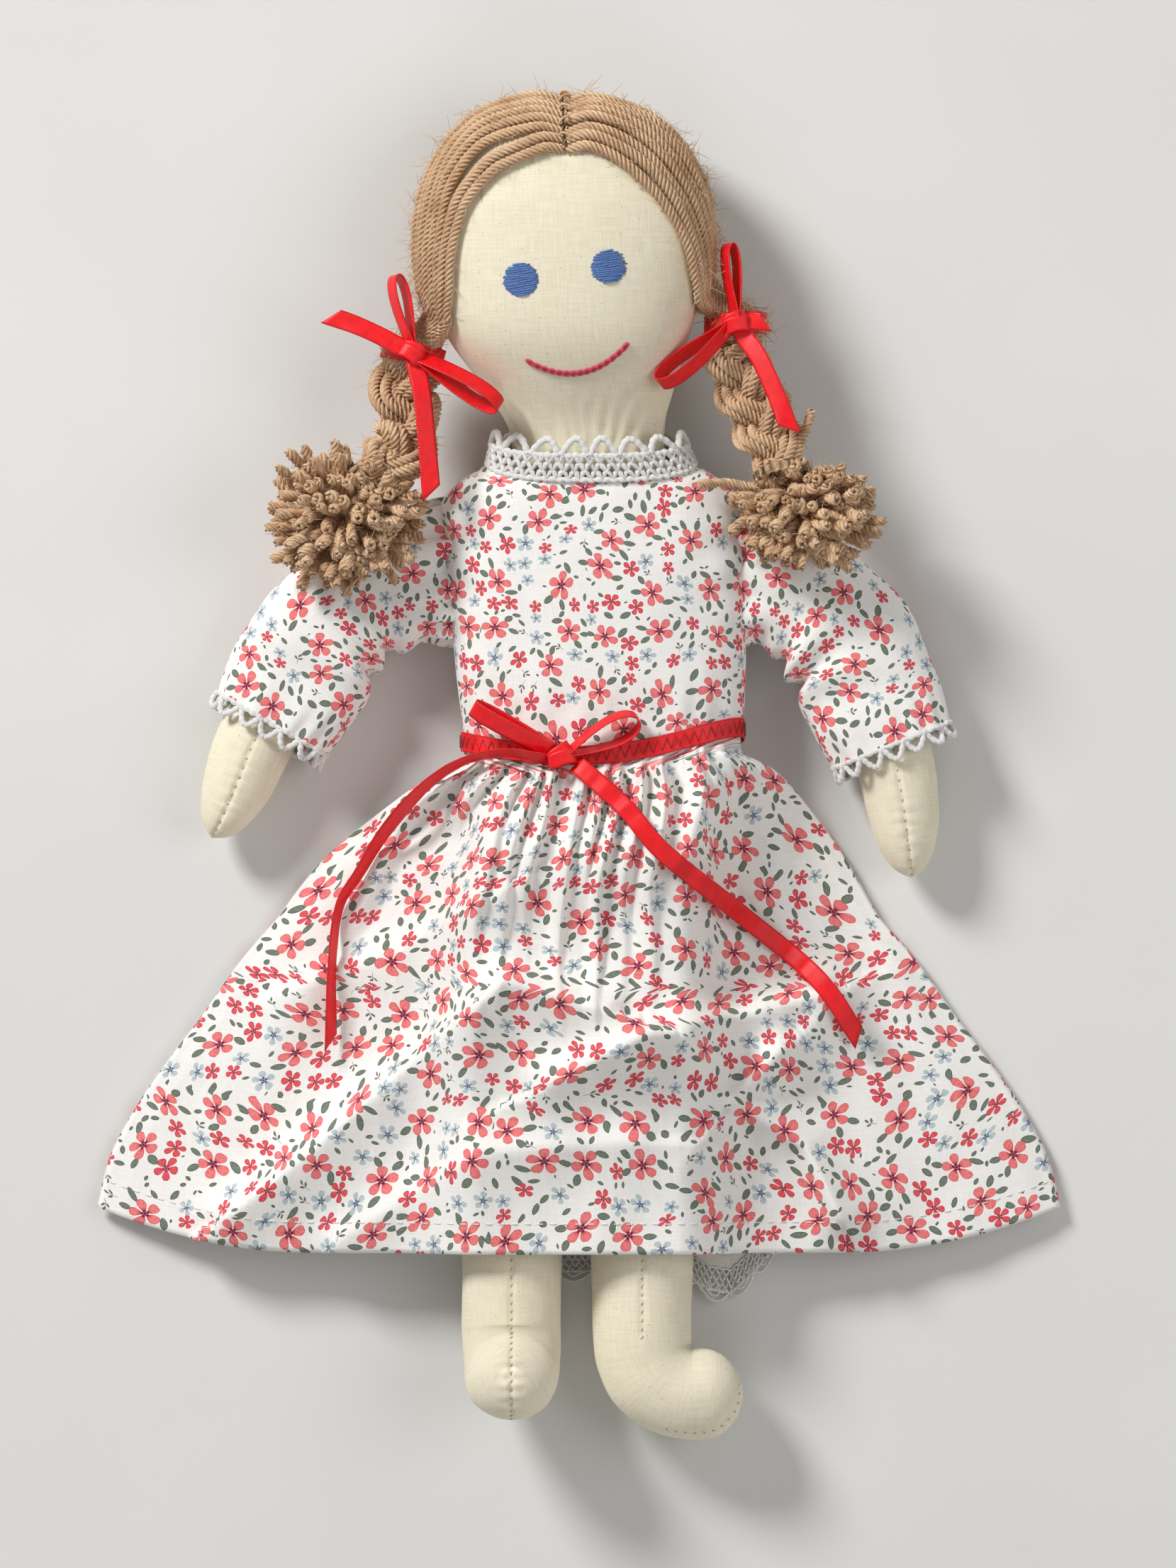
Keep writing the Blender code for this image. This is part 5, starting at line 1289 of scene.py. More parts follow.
ARM_LENGTH = 110.0
ARM_ROUTES = {
    "left": (
        (0, 0), (0.16, -0.07), (0.27, -0.18), (0.33, -0.33), (0.38, -0.49), (0.41, -0.65), (0.425, -0.76),
        (0.44, -0.88),
    ),
    "right": (
        (0, 0), (0.17, -0.065), (0.31, -0.165), (0.415, -0.30), (0.505, -0.475), (0.56, -0.61), (0.60, -0.70),
        (0.635, -0.765),
    ),
}
ARM = (
    (0.0, 0.55, 0.50), (0.04, 0.90, 0.62), (0.10, 1.0, 0.78), (0.24, 1.0, 1.0), (0.45, 0.98, 1.0),
    (0.68, 1.0, 1.0), (0.82, 0.92, 0.92), (0.91, 0.72, 0.76), (0.97, 0.42, 0.48),
)
SHOULDERS = {"left": Vector((55.89, 62.0, 16.0)), "right": Vector((-45.31, 62.0, 16.0))}


def arm_line(side, count):
    points = []
    for across, down in ARM_ROUTES[side]:
        step = Vector((SIDES[side] * across, down, 0.0)) * ARM_LENGTH
        points.append(SHOULDERS[side] + step - UP * 3.6 * smooth(across / 0.2))
    return curve(points, count)


def seam_dent(off, normal, deep, wide, pucker, spread, beat):
    """Groove along a seam on top, with the cloth puckered to both sides of it."""
    groove = deep * math.exp(-(off / wide) ** 2)
    return (pucker * math.exp(-(off / spread) ** 2) * math.sin(beat) - groove) * max(0.0, normal.z)


def stitch_row(build, tree, route, spacing, reach, slant, radius, lift):
    """Short stitches across a route that lies on a surface."""
    even = spaced(route, int(length_of(route) / spacing) + 1)
    for point, way in zip(even, ways(even)):
        across = level_side(way) if abs(way.z) < 0.98 else RIGHT
        points = []
        for step in range(5):
            share = step / 4 - 0.5
            place = point + across * reach * share * 2 + way * slant * share
            hit = tree.find_nearest(place)
            points.append(hit[0] + hit[1] * (lift + 0.25 * math.cos(share * math.pi)))
        build.tube(points, radius, 5)


for side, sign in SIDES.items():
    line = arm_line(side, 61)
    tangents = ways(line)
    build = Build()
    rings = []
    for i in range(0, 59, 2):
        along = i / 60
        width, depth = read(ARM, along)
        across = level_side(tangents[i])
        rings.append(half_turned(oval(line[i], across, UP, 12.3 * width, 11.0 * depth, 24)))
    build.grid(rings, caps=True, tips=(None, line[60]))
    arm = build.finish("arm_" + side, calico, levels=2, mend=True)
    bake(arm)

    def arm_shape(place, normal, line=line, tangents=tangents):
        near = min(range(61), key=lambda k: (line[k] - place).length_squared)
        off = (place - line[near]).dot(level_side(tangents[near]))
        dent = seam_dent(off, normal, 0.75, 0.75, 0.22, 3.2, near * 2.928)
        return normal * (wrinkle(place, 11.0) * 0.30 + dent)

    shift(arm, arm_shape)
    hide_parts("arm_" + side + "_cover", "arm_" + side + "_stuffing")
    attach(arm, "arm_" + side)
    tree = surface_tree(arm)
    build = Build()
    seam = hits(tree, [point + UP * 60 for point in line[34:60]])
    stitch_row(build, tree, seam, 3.1, 0.42, 0.5, 0.17, 0.02)
    stitches = build.finish("arm_" + side + "_stitches", tan_thread)
    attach(stitches, "arm_" + side)

LEG_TOP = -55.8
LEG_Z = 18.3
HEEL_BEND = 16.0
TOE = 13.5
SHIN = ((-0.16, 0.62), (0.0, 0.84), (0.12, 0.95), (0.35, 1.0), (0.65, 1.0), (0.88, 0.96))
# Length, where the toes point, the way across that, half sizes and where the stitched seam ends
LEGS = {
    "left": (154.0, RIGHT, UP, (15.3, 16.3), 2.0),
    "right": (148.0, UP, RIGHT, (16.3, 15.3), -30.0),
}
for side, sign in SIDES.items():
    length, toe_way, ring_side, halves, seam_end = LEGS[side]
    x = -0.6 + sign * 20.35
    ankle = LEG_TOP - length + 16.3 * 0.9 + HEEL_BEND

    def leg_ring(centre, up, size):
        return oval(centre, ring_side, up, halves[0] * size, halves[1] * size, 28)

    rings = []
    for i in range(17):
        along = mix(0.0, 0.9, i / 16)
        centre = Vector((x, mix(LEG_TOP, ankle, along), LEG_Z))
        rings.append(leg_ring(centre, toe_way, read(SHIN, along)[0]))
    for step in range(9):
        turn = math.pi / 2 * step / 8
        inner = toe_way * math.cos(turn) + HEADWARD * math.sin(turn)
        centre = Vector((x, ankle, LEG_Z)) + (toe_way - inner) * HEEL_BEND
        rings.append(leg_ring(centre, inner, mix(0.96, 0.90, step / 8)))
    toe = Vector((x, ankle - HEEL_BEND, LEG_Z)) + toe_way * 18.0
    for share in (0.22, 0.42, 0.6, 0.76, 0.88, 0.96):
        rings.append(leg_ring(toe + toe_way * TOE * share, HEADWARD, 0.9 * math.sqrt(1.0 - share ** 2)))
    build = Build()
    build.grid(rings, caps=True, tips=(None, toe + toe_way * TOE))
    leg = build.finish("leg_" + side, calico, levels=2, mend=True)
    bake(leg)

    def leg_shape(place, normal, x=x, side=side, ankle=ankle):
        off = place.x - x
        dent = 0.0
        if side == "left":
            off -= smooth((ankle - place.y) / 20.0)
        if side == "right" or place.y >= ankle + 2:
            dent = seam_dent(off, normal, 0.7, 0.8, 0.25, 3.6, place.y * 1.7)
        return normal * (wrinkle(place, 13.0) * 0.40 + wrinkle(place, 5.0) * 0.10 + dent)

    shift(leg, leg_shape)
    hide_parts("leg_" + side + "_cover", "leg_" + side + "_stuffing")
    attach(leg, "leg_" + side)
    tree = surface_tree(leg)
    build = Build()
    seam = hits(tree, [Vector((x, mix(-140.0, ankle + seam_end, k / 59), 90.0)) for k in range(60)])
    stitch_row(build, tree, seam, 2.6, 0.46, 0.9, 0.16, 0.0)
    if side == "left":
        middle = Vector((x + 16.0, ankle - 6.0, LEG_Z + 9.0))
        turns = [-math.pi * (0.06 + 0.56 * k / 39) for k in range(40)]
        ways_out = [Vector((math.cos(turn), math.sin(turn), 0)) for turn in turns]
        sole = [tree.find_nearest(middle + way * 24)[0] for way in ways_out]
        stitch_row(build, tree, sole, 2.8, 0.6, 0.6, 0.17, 0.04)
    stitches = build.finish("leg_" + side + "_stitches", tan_thread)
    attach(stitches, "leg_" + side)

# Bodice and sleeves
# Printed cotton, plain over the chest, gathered where the puffed sleeves meet the armholes.
BODICE = (
    (0, 0.92, 0.95), (0.045, 0.925, 0.95), (0.20, 0.955, 1.0), (0.45, 0.98, 1.0), (0.66, 1.0, 0.985),
    (0.83, 1.0, 0.94), (0.885, 0.915, 0.91), (0.935, 0.775, 0.89), (0.975, 0.65, 0.88), (1.0, 0.585, 0.88),
)
BODICE_HALF_WIDTH, BODICE_HALF_DEPTH = 47.0, 18.8
CLOTH = 0.4


def waist_line(x, turn):
    """How far the waist seam lies headward of WAIST_Y: it dips in front and slopes."""
    off = x - WAIST_X
    return (1.0 + math.cos(turn)) / 2 * (0.084 * off + 9.0 * ((off / BODICE_HALF_WIDTH) ** 2 - 0.4))


def bodice_ring(along, grow=0.0, count=80, floor=0.0):
    width, depth = read(BODICE, along)
    y = WAIST_Y + along * BODY_HEIGHT
    half_width, half_depth = BODICE_HALF_WIDTH * width + grow, BODICE_HALF_DEPTH * depth + grow
    ring = oval_at(centre_x(y), y, BODICE_Z, half_width, half_depth, count, 0.8)
    if along < 0.1:
        for i, point in enumerate(ring):
            point.y += (1.0 - along / 0.1) * waist_line(point.x, math.tau * i / count) + 0.15
    for point in ring:
        point.z = max(point.z, 1.0 - grow if along < 0.1 else floor)
    return ring


def neckline(ring, along):
    """Lowers the front of the rings near the neck's edge."""
    for k, point in enumerate(ring):
        front = max(0.0, math.cos(math.tau * k / len(ring)))
        point.y -= 6.8 * smooth((along - 0.885) / 0.115) * front ** 1.3
    return ring


shares = [0.0, 0.02, 0.045, 0.07, 0.1, 0.13, 0.17, 0.21, 0.26, 0.31, 0.36, 0.42, 0.48, 0.54, 0.60, 0.66, 0.71]
shares += [0.76, 0.80, 0.835, 0.86, 0.885, 0.91, 0.935, 0.955, 0.975, 0.99, 1.0]
build = Build()
build.grid([half_turned(neckline(bodice_ring(along), along)) for along in shares])
bodice = build.finish("bodice_cloth", fine_print, levels=1, mend=True)
bake(bodice)


def bodice_shape(place, normal):
    """Small gathers up from the waist, drag lines towards the armholes and soft stuffing."""
    off = place.x - centre_x(place.y)
    front = smooth(normal.z + 0.3)
    waist = math.exp(-((place.y - WAIST_Y) / 13.0) ** 2)
    gathers = math.sin(off * 0.62 + 1.3 * math.sin(off * 0.21)) * 0.85 * waist
    side = smooth((abs(off) - 26.0) / 20.0) * math.exp(-((place.y - 66.0) / 24.0) ** 2)
    drag = math.sin((place.y - 0.35 * abs(off)) * 0.42) * 0.75 * side
    soft = wrinkle(Vector((place.x, place.y * 0.6, 0)), 15.0) * 0.75 + wrinkle(place, 6.0) * 0.12
    free = 0.2 + 0.8 * smooth((place.y - WAIST_Y - 5.0) / 6.0)
    return normal * (gathers + drag + soft * 0.9) * front * free + normal * 0.15


shift(bodice, bodice_shape)
add_wall(bodice, CLOTH)
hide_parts("bodice")
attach(bodice, "upper")

SLEEVE_ROUTES = {
    "left": (
        (-0.19, 0), (-0.02, -0.01), (0.095, -0.05), (0.204, -0.127), (0.285, -0.236), (0.33, -0.364),
        (0.382, -0.495),
    ),
    "right": (
        (-0.19, 0), (-0.027, -0.005), (0.10, -0.032), (0.227, -0.095), (0.318, -0.186), (0.377, -0.29),
        (0.461, -0.435),
    ),
}
SLEEVE = ((0, 1.02), (1 / 6, 1.04), (2 / 6, 0.98), (0.5, 0.92), (4 / 6, 0.95), (5 / 6, 1.02), (1.0, 0.90))
PUFF_Z = 24.0
CUFFS = {}
for side, sign in SIDES.items():
    root = SHOULDERS[side]
    steps = [(sign * across * ARM_LENGTH, down * ARM_LENGTH) for across, down in SLEEVE_ROUTES[side]]
    line = curve([Vector((root.x + x, root.y + y, 12.5)) for x, y in steps], 49)
    tangents = ways(line)
    rings = []
    for i in range(6, 49):
        along = i / 48
        width, = read(SLEEVE, along)
        head_part = math.exp(-(max(along - 0.13, 0.0) / 0.16) ** 2) * smooth((along - 0.1) / 0.06)
        cuff_part = math.exp(-((1.0 - along) / 0.12) ** 2)
        ring = oval(line[i], level_side(tangents[i]) * sign, UP, 22.0 * width, 13.0, 96, 0.75)
        for k, point in enumerate(ring):
            turn = math.tau * k / 96
            beat = math.sin(turn * 13.0 + 1.8 * math.sin(turn * 3.0 + sign))
            wave = beat * (2.3 * head_part + 0.6 * cuff_part)
            spot = Vector((math.sin(turn) * 14.0, along * 75.0, 4.0 * sign))
            slack = wrinkle(spot, 14.0) * 3.4 * math.sin(math.pi * along)
            crook = math.exp(-((along - 0.60) / 0.20) ** 2) * smooth(math.sin(turn) + 0.25)
            slack += crook * 2.5 * math.sin(along * 34.0 + 2.6 * math.cos(turn))
            out = (point - line[i]).normalized()
            point += out * (wave + slack - 0.5) * (1.0 if point.z > 6.0 else 0.3)
            if point.z > PUFF_Z:
                point.z = PUFF_Z + 2.8 * math.tanh((point.z - PUFF_Z) / 2.8)
            point.z = max(point.z, 0.25)
        rings.append(half_turned(ring))
    build = Build()
    build.grid(rings)
    sleeve = build.finish("sleeve_" + side + "_cloth", fine_print, levels=1, mend=True)
    bake(sleeve)
    add_wall(sleeve, CLOTH)
    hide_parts("sleeve_" + side)
    CUFFS[side] = (tangents[-1], rings[-1])
    start = SHOULDERS[side] * MM + Vector((-sign * 0.006, 0.0, 0.0))
    "arm_" + side
    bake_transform(sleeve)

# Skirt and petticoat
# Gathered into the waist, fanning out flat on the floor, with soft folds over the legs.
SKIRT_HALF = (
    (0.0, 0.2864), (0.028, 0.2864), (0.085, 0.366), (0.16, 0.448), (0.25, 0.540), (0.35, 0.622),
    (0.45, 0.706), (0.56, 0.780), (0.67, 0.858), (0.78, 0.926), (0.89, 0.976), (1.0, 1.0),
)
PETTICOAT_HALF = (
    (0.0, 0.590), (0.04, 0.60), (0.10, 0.635), (0.18, 0.69), (0.28, 0.75), (0.42, 0.83), (0.60, 0.90),
    (0.8, 0.95), (1.0, 1.0),
)
SKIRT_LENGTH, SKIRT_WIDTH = 159.0, 151.0
PETTICOAT_LENGTH, PETTICOAT_WIDTH = 158.0, 68.0
WAIST_HALF_WIDTH = 43.2
HEM_Z = 5.6
# Each fold's line in shares of the skirt's half width and length, its height and its two reaches
FOLDS = (
    (((-0.73, 0.94), (-0.40, 0.67), (-0.15, 0.46), (0.06, 0.52)), 12.5, 3.6, 13.0),
    (((-0.06, 0.66), (0.13, 0.57), (0.34, 0.53), (0.50, 0.49)), 11.5, 3.6, 11.5),
    (((0.42, 0.60), (0.32, 0.70), (0.47, 0.79), (0.54, 0.93)), 9.5, 8.0, 4.0),
    (((-0.62, 0.50), (-0.36, 0.40), (-0.20, 0.30)), 5.0, 4.0, 11.0),
    (((0.66, 0.44), (0.74, 0.62), (0.88, 0.80)), 5.0, 10.0, 4.4),
    (((-0.50, 0.98), (-0.20, 0.80), (0.12, 0.78)), 5.0, 5.0, 12.0),
)


def petticoat_top(across, share):
    half = PETTICOAT_WIDTH * read(PETTICOAT_HALF, share)[0]
    if abs(across) >= half:
        return 0.0
    tent = 6.0 + 30.2 * fall((abs(across) - 30.0) / max(half - 30.0, 1.8))
    round_top = (1.0 - (abs(across) / half) ** 2.5) ** 0.4
    return mix(TORSO_Z + 15.9 * round_top, tent, smooth(share / 0.2))


def near_fold(x, share, fold):
    """Signed distance to a fold's line."""
    place = Vector((x, -share * SKIRT_LENGTH))
    ends = [Vector((a * SKIRT_WIDTH, -b * SKIRT_LENGTH)) for a, b in fold]
    best = 999.0
    for a, b in zip(ends, ends[1:]):
        part = min(max((place - a).dot(b - a) / (b - a).length_squared, 0.0), 1.0)
        gap = place - a.lerp(b, part)
        if gap.length < abs(best):
            way = b - a
            best = math.copysign(gap.length, way.x * gap.y - way.y * gap.x)
    return best


chance = random.Random(5)
GATHERS = []
for count, edge, jitter, *ranges in (
    (13, 0.92, 0.3, (0.100, 0.135), (0.40, 0.80), (4.2, 6.4)),
    (16, 0.90, 0.35, (0.035, 0.060), (0.16, 0.36), (1.0, 2.2)),
):
    for k in range(count):
        spot = -edge + 2 * edge * (k + chance.uniform(-jitter, jitter)) / (count - 1)
        GATHERS.append([spot] + [chance.uniform(low, high) for low, high in ranges])


def pleat(off):
    """Pleat that rises slowly on one side and drops quickly on the other."""
    return fall(-off) if off < 0 else fall(off / 0.38)


def skirt_top(across, share):
    """Height of the skirt's front: waist, drape over the legs, folds, gathers and puff."""
    half = SKIRT_WIDTH * read(SKIRT_HALF, share)[0]
    side_share = min(abs(across) / half, 1.0)
    tent = HEM_Z + 22.0 * (1.0 - side_share) ** 1.2
    legs = petticoat_top(across, share) + 2.6
    over = math.exp(tent / 3.0) + math.exp(legs / 3.0)
    lower = mix(HEM_Z, 3.0 * math.log(over), smooth((1.0 - side_share) / 0.06))
    edge = fall((side_share - 0.75) / 0.25)
    for fold, height, upper, under in FOLDS:
        off = near_fold(across, share, fold)
        reach = abs(off) / (upper if off > 0 else under)
        lower += height * math.exp(-reach ** 1.35 / 1.4) * edge
    round_top = (1.0 - side_share ** 2.5) ** 0.4
    waist = BODICE_Z + BODICE_HALF_DEPTH * 0.95 * round_top
    u = across / mix(WAIST_HALF_WIDTH, half, side_share ** 1.3)
    gather = 0.0
    for spot, wide, long, high in GATHERS:
        drift = spot + 0.012 * math.sin(share * 23.0 + spot * 40.0)
        gather += high * pleat((u - drift) / wide) * fall(share / long)
    gather *= smooth((share - 0.014) / 0.022) * fall((side_share - 0.88) / 0.12)
    puff = 4.5 * math.exp(-((share - 0.20) / 0.11) ** 2) * fall((side_share - 0.5) / 0.5)
    return mix(waist, lower, smooth((share - 0.028) / 0.18)) + gather + puff - 1.0


def dress_halves(half_table, top_at, length, full, floor, edge, shares, front, back, slack):
    """Front and back rows of a skirt that lies flat at the back and drapes over the legs."""
    fronts, backs = [], []
    for share in shares:
        half = full * read(half_table, share)[0]
        down = smooth((share - 0.028) / 0.2)
        y = WAIST_Y - share * length
        middle = centre_x(y)
        for rows, count, is_front in ((fronts, front, True), (backs, back, False)):
            row = []
            for step in range(count + 1):
                turn_share = step / count if is_front else 1.0 + step / count
                turn = math.pi * (turn_share - 0.5)
                level = 2.0 * turn_share - 1.0 if is_front else 3.0 - 2.0 * turn_share
                across = half * mix(power(math.sin(turn), 0.8), level, down)
                side_share = min(abs(across) / half, 1.0)
                if step in (0, count):
                    z = mix(TORSO_Z, edge / 2, down)
                elif is_front:
                    soft = wrinkle(Vector((across, share * 90.0, 3.0)), 17.0)
                    soft *= slack * smooth(share / 0.3) * fall((side_share - 0.8) / 0.2)
                    z = max(top_at(across, share) + soft, 1.2)
                else:
                    round_back = (1.0 - side_share ** 2.5) ** 0.4
                    z = mix(BODICE_Z - 17.86 * round_back, 0.0, down)
                    z = max(z, 1.0 - smooth((share - 0.05) / 0.1)) + floor
                rise = share * share * 14.0 * max(0.0, (side_share - 0.55) / 0.45) ** 2
                lift = max(0.0, 1.0 - share / 0.35) * waist_line(middle + across, turn)
                row.append(Vector((middle + across, y + rise + lift - 0.15, z)))
            rows.append(row)
    return fronts, backs


def add_sheets(fronts, backs, apart, name, material, wall):
    """Front and back joined at their edges, the back's UVs set apart from the front's."""
    build = Build()
    build.grid(fronts, False)
    build.grid(backs, False, [[(u + apart, v) for u, v in row] for row in Build.flat_uv(backs, False)])
    return build.finish(name, material, wall=wall, merge=0.01)


shares = [0.0, 0.012, 0.024, 0.036, 0.05, 0.065, 0.08] + [0.10 + 0.9 * k / 86 for k in range(87)]
fronts, backs = dress_halves(
    SKIRT_HALF, skirt_top, SKIRT_LENGTH, SKIRT_WIDTH, 0.0, HEM_Z, shares, 300, 40, 1.5)
skirt = add_sheets(fronts, backs, 700.0, "skirt_cloth", print_cotton, 0.45)
skirt_tree = surface_tree(skirt)
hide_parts("skirt")
skirt_hem = fronts[-1]

shares = [0.0, 0.03, 0.06, 0.1] + [0.14 + 0.86 * k / 24 for k in range(25)]
fronts, backs = dress_halves(
    PETTICOAT_HALF, petticoat_top, PETTICOAT_LENGTH, PETTICOAT_WIDTH, 1.1, 6.0, shares, 60, 20, 0.0)
NEIGHBOURS = [(dx, dy) for dx in (-2, 0, 2) for dy in (-2.5, 0, 2.5)]
for share, row, back in zip(shares, fronts, backs):
    for point in row[1:-1]:
        point.y += 13.0 * smooth((share - 0.55) / 0.45) * smooth((62.0 - abs(point.x)) / 12.0)
        if point.z > 8.0:
            lows = [drop(skirt_tree, point.x + dx, point.y + dy, 0.0, 60.0) for dx, dy in NEIGHBOURS]
            point.z = min(point.z, min(lows) - 1.2)
        else:
            point.z = min(point.z, drop(skirt_tree, point.x, point.y, 1.5) - 2.2)
    for point in back[1:-1]:
        low = smooth((share - 0.7) / 0.3)
        drape = 8.5 * math.exp(-((point.x - 47.0) / 10.0) ** 2)
        point.y += low * (9.0 * smooth((-point.x - 12.0) / 14.0) - drape)
        point.z += low * 2.6 * math.exp(-((point.x - 46.0) / 10.0) ** 2) * (1.0 + math.sin(point.x * 0.62))
petticoat = add_sheets(fronts, backs, 300.0, "petticoat_cloth", lining, 0.35)
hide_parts("petticoat")
petticoat_hem = fronts[-1] + backs[-1][1:-1]

# Lace
# Crochet worked as thread: rows of open mesh, then arches, on the petticoat two in each place.


def edge_mapper(edge, ways_down):
    """Turns (along, down) in millimetres into places on a strip hanging from a closed edge."""
    line = np.array([tuple(point) for point in edge + edge[:1]])
    down = np.array([tuple(way) for way in ways_down + ways_down[:1]])
    run = run_along(line)

    def place(s, h):
        return point_at(s % run[-1], run, line) + point_at(s % run[-1], run, down) * h

    return place, run[-1]


def crochet(build, place, total, pitch, rows, height, thread, inner=True, floor=0.5):
    """Rows of open mesh as (low, high, cells an arch), then arches, with inner ones where set."""
    count = max(3, round(total / pitch))
    pitch = total / count
    chance = random.Random(int(total))

    def lay(points, radius, uneven, beat):
        """Thread through (along, down) places, its thickness swelling at a beat."""
        route = [place(s, h) for s, h in points]
        keep_above(route, floor)
        build.tube(route, [radius * (1.0 + uneven * math.sin(k * beat)) for k in range(len(route))], 7)

    def chain(h):
        """A row of chain stitches, seen as a beaded thread."""
        steps = int(total / 0.6)
        route = [(total * k / steps, h + 0.14 * math.sin(k * 1.1)) for k in range(steps + 1)]
        lay(route, thread * 1.1, 0.20, math.pi * 0.5)

    if rows:
        chain(0.0)
    for number, (low, high, cells) in enumerate(rows):
        posts = count * cells
        step = total / posts
        route = []
        for k in range(posts):
            s = step * (k + 0.5 * (number % 2)) + chance.uniform(-0.25, 0.25)
            for part, rise in ((0.0, 0.0), (0.28, 0.75), (0.5, 1.0), (0.72, 0.75)):
                route.append((s + step * part, mix(low, high, rise)))
        lay(route + [(route[0][0] + total, route[0][1])], thread, 0.18, 2.3)
    top = rows[-1][1] if rows else 0.0
    chain(top)
    shape = ((0.0, 0.0), (0.07, 0.22), (0.16, 0.50), (0.28, 0.78), (0.40, 0.95), (0.5, 1.0))
    outline = list(shape) + [(1.0 - a, b) for a, b in reversed(shape[:-1])]
    arches = ((1.0, 1.0, 1.3), (0.46, 0.50, 0.95)) if inner else ((0.94, 1.0, 1.3),)
    spots = np.linspace(0, 1, 25)
    for k in range(count):
        lean = chance.uniform(-0.07, 0.07)
        tall = (height - top) * chance.uniform(0.90, 1.05)
        for scale, part, radius in arches:
            across = [pitch * (k + 0.5 + (a - 0.5) * scale + lean * b) for a, b in outline]
            down = [top + b * tall * part for a, b in outline]
            marks = np.linspace(0, 1, len(outline))
            route = [np.interp(spots, marks, values).tolist() for values in (across, down)]
            lay(list(zip(*route)), thread * radius, 0.16, 1.9)


lows, downs = [], []
for k in range(96):
    front = max(0.0, math.cos(math.tau * k / 96))
    along = mix(0.972, 0.955, front)
    low = neckline(bodice_ring(along, 1.3, 96, 0.6), along)[k]
    high = oval_at(3.0, low.y + mix(8.5, 12.2, front), 19.2, 29.6, 18.6, 96, 0.85)[k]
    high.z = max(high.z, 0.8)
    lows.append(low)
    downs.append((high - low) / 12.0)
place, total = edge_mapper(half_turned(lows), half_turned(downs))
build = Build()
rows = ((0.0, 2.6, 3), (2.4, 5.0, 3), (4.8, 7.4, 3))
crochet(build, place, total, 10.8, rows, 12.8, 0.84, inner=False, floor=1.2)
collar = build.finish("collar_crochet", lace_cotton)
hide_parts("collar_lace")
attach(collar, "upper")

for side in SIDES:
    way, ring = CUFFS[side]
    place, total = edge_mapper(ring, [way] * len(ring))
    build = Build()
    crochet(build, place, total, 7.4, (), 4.7, 0.72, inner=False, floor=1.1)
    cuff = build.finish("cuff_" + side + "_crochet", lace_cotton)
    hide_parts("cuff_lace_" + side)
    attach(cuff, "arm_" + side)

place, total = edge_mapper(petticoat_hem, [-HEADWARD] * len(petticoat_hem))
build = Build()
crochet(build, place, total, 11.0, ((0.0, 2.0, 5), (1.9, 3.9, 5), (3.8, 5.8, 5), (5.7, 7.2, 4)), 10.4, 0.36)
hem_lace = build.finish("petticoat_crochet", lace_cotton)
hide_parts("petticoat_lace")

# Hem stitches and sash
# A stitched line above the hem. The sash is sewn on with zigzags and tied in a bow.
build = Build()
hem_row = [Vector((point.x, point.y + 9.5, 0)) for point in skirt_hem[4:-4]]
line = spaced(hem_row, 150)
for a, b in zip(line[::2], line[1::2]):
    points = []
    for step in range(5):
        spot = a.lerp(b, step / 4)
        top = drop(skirt_tree, spot.x, spot.y)
        points.append(Vector((spot.x, spot.y, top + 0.22 * math.sin(math.pi * step / 4) - 0.08)))
    build.tube(points, 0.22, 5)
hem_stitches = build.finish("hem_stitches", white_thread)

rows, uv = [], []
for share in (-1.0, -0.9, -0.6, -0.2, 0.2, 0.6, 0.9, 1.0):
    row = []
    for point in half_turned(bodice_ring(0.0, 1.15, 120)):
        ripple = 0.35 * math.sin((point.x - WAIST_X) * 0.45 + 0.8 * share) * smooth((point.z - 12) / 14)
        row.append(point + Vector((0, 3.0 * share, ripple * (1 - abs(share) * 0.4))))
    rows.append(row)
    run = run_along(np.array([tuple(point) for point in row + row[:1]]))
    uv.append([(value, 3.0 * share) for value in run.tolist()])
build = Build()
build.grid(rows, True, uv)
band = build.finish("sash_band_ribbon", satin, wall=0.35, mend=True)
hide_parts("sash_band")
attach(band, "upper")

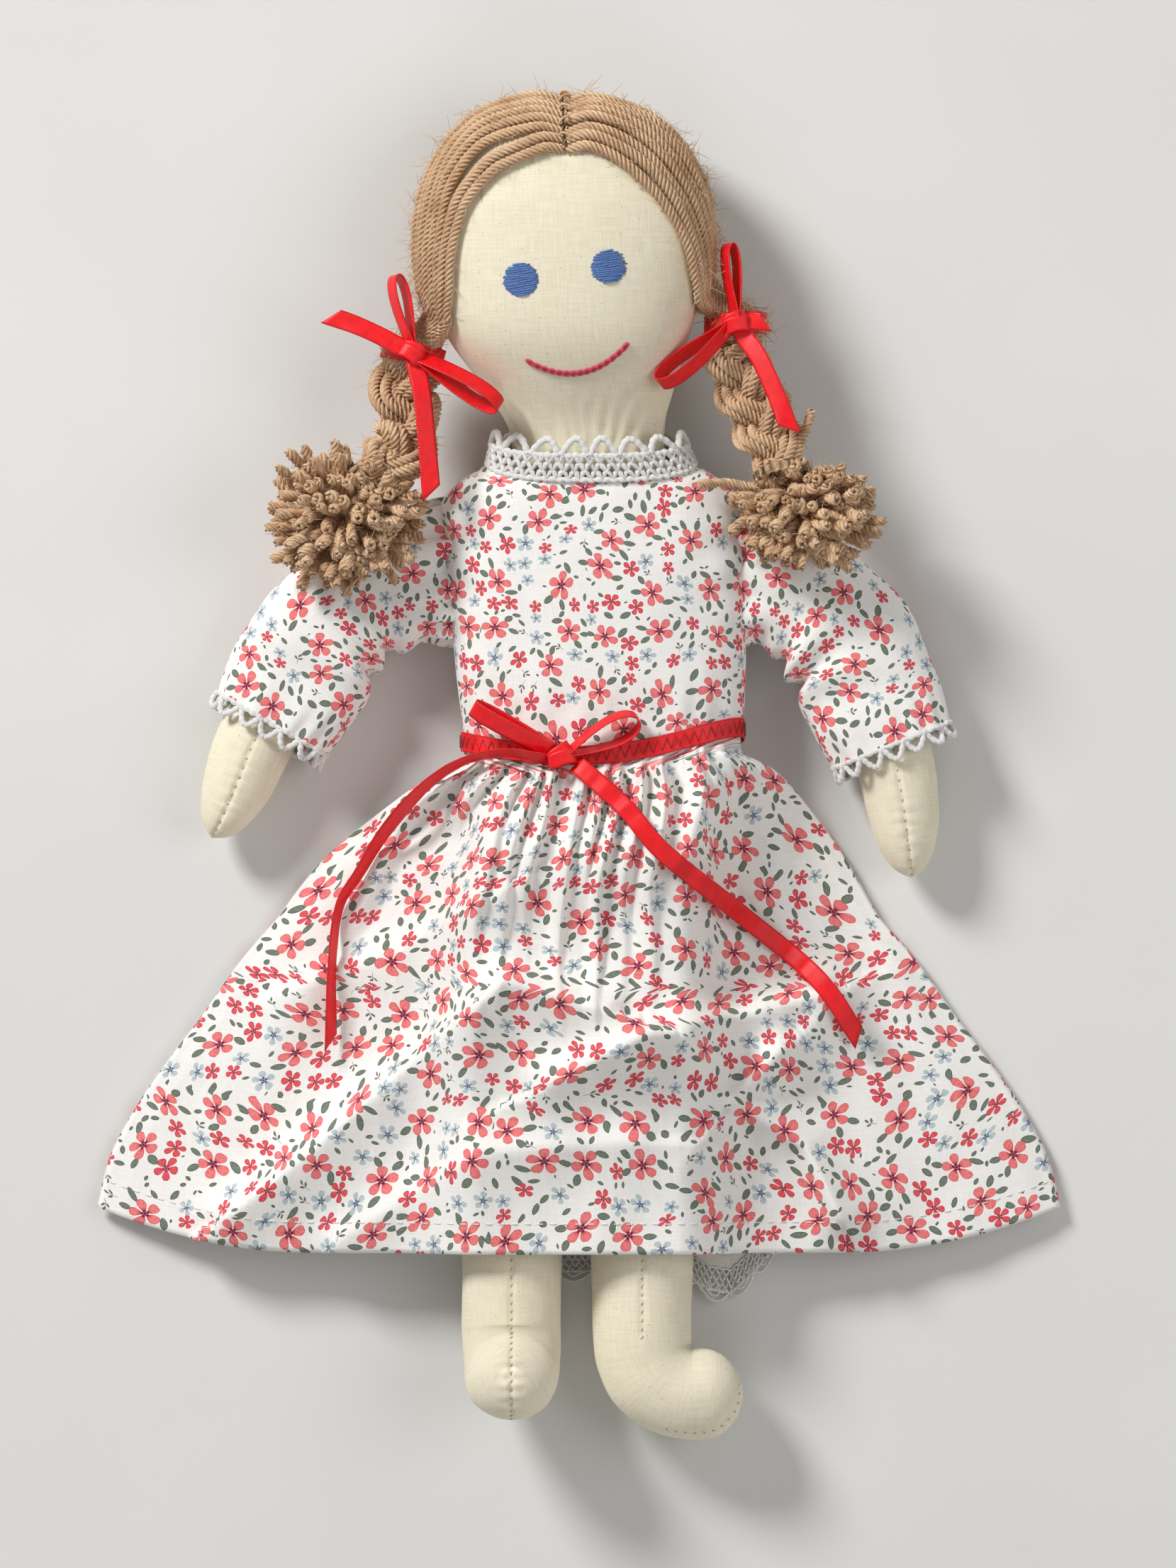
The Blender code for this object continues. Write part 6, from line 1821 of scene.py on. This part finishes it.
build = Build()
ring = half_turned(bodice_ring(0.0, 1.3, 240))
points = []
for k, point in enumerate(spaced(ring + ring[:1], 148)[:-1]):
    points.append(Vector((point.x, point.y + (1.9 if k % 2 else -1.9), max(point.z + 0.10, 0.3))))
build.tube(points + [points[0]], 0.19, 5)
zigzag = build.finish("sash_stitches", red_thread)
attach(zigzag, "upper")

knot = Vector((-5.4, 4.0, 40.1))
build = Build()
add_loop(build, knot, (-27.5, 15.2, 1.0), 0.5, 7.0)
add_loop(build, knot, (24.0, 11.5, 0.5), 1.15, 17.0, 5.4)
add_knot(build, knot, Vector((-0.4, 0.9, 0)).normalized(), 3.9, 2.4)
sash_bow = build.finish("sash_bow_ribbon", satin)
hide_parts("sash_bow")
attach(sash_bow, "upper")

# In shares of the skirt's half width and length, from the waist
TAILS = {
    "left": ((-0.055, 0.040), (0.045, 0.125), (0.126, 0.214), (0.285, 0.335), (0.442, 0.46), (0.53, 0.578)),
    "right": (
        (-0.118, 0.03), (-0.20, 0.019), (-0.289, 0.036), (-0.371, 0.088), (-0.45, 0.173), (-0.503, 0.253),
        (-0.545, 0.321), (-0.56, 0.432), (-0.563, 0.587),
    ),
}
top_tree = surface_tree(skirt, band)
tails = {}
for side, table in TAILS.items():
    route = curve([Vector((WAIST_X + a * SKIRT_WIDTH, WAIST_Y - b * SKIRT_LENGTH, 0)) for a, b in table], 70)
    tops = [drop(top_tree, point.x, point.y, 3.0, 30.0) for point in route]
    for k, point in enumerate(route):
        near = tops[max(k - 3, 0):k + 4]
        point.z = mix(max(near), sum(near) / len(near), 0.4) + (0.7 if side == "left" else 2.6)
    lean, beat = (0.0, 0.18) if side == "left" else (1.05, 0.15)
    across = [tilted(way, lean + 0.12 * math.sin(k * beat)) for k, way in enumerate(ways(route))]
    build = Build()
    build.ribbon(route, across, RIBBON_WIDTH, RIBBON_THICK, 2.6)
    tail = build.finish("sash_tail_" + side + "_ribbon", satin)
    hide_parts("sash_tail_" + side)
    tails[side] = tail

# Baked cloth pieces
# The skirt, petticoat, hem lace, hem stitches and sash tails have their modifiers and placement baked into
# their meshes.
for piece in (skirt, petticoat, hem_lace, hem_stitches, tails["left"], tails["right"]):
    bake(piece)
    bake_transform(piece)
for side in SIDES:
    "arm_" + side
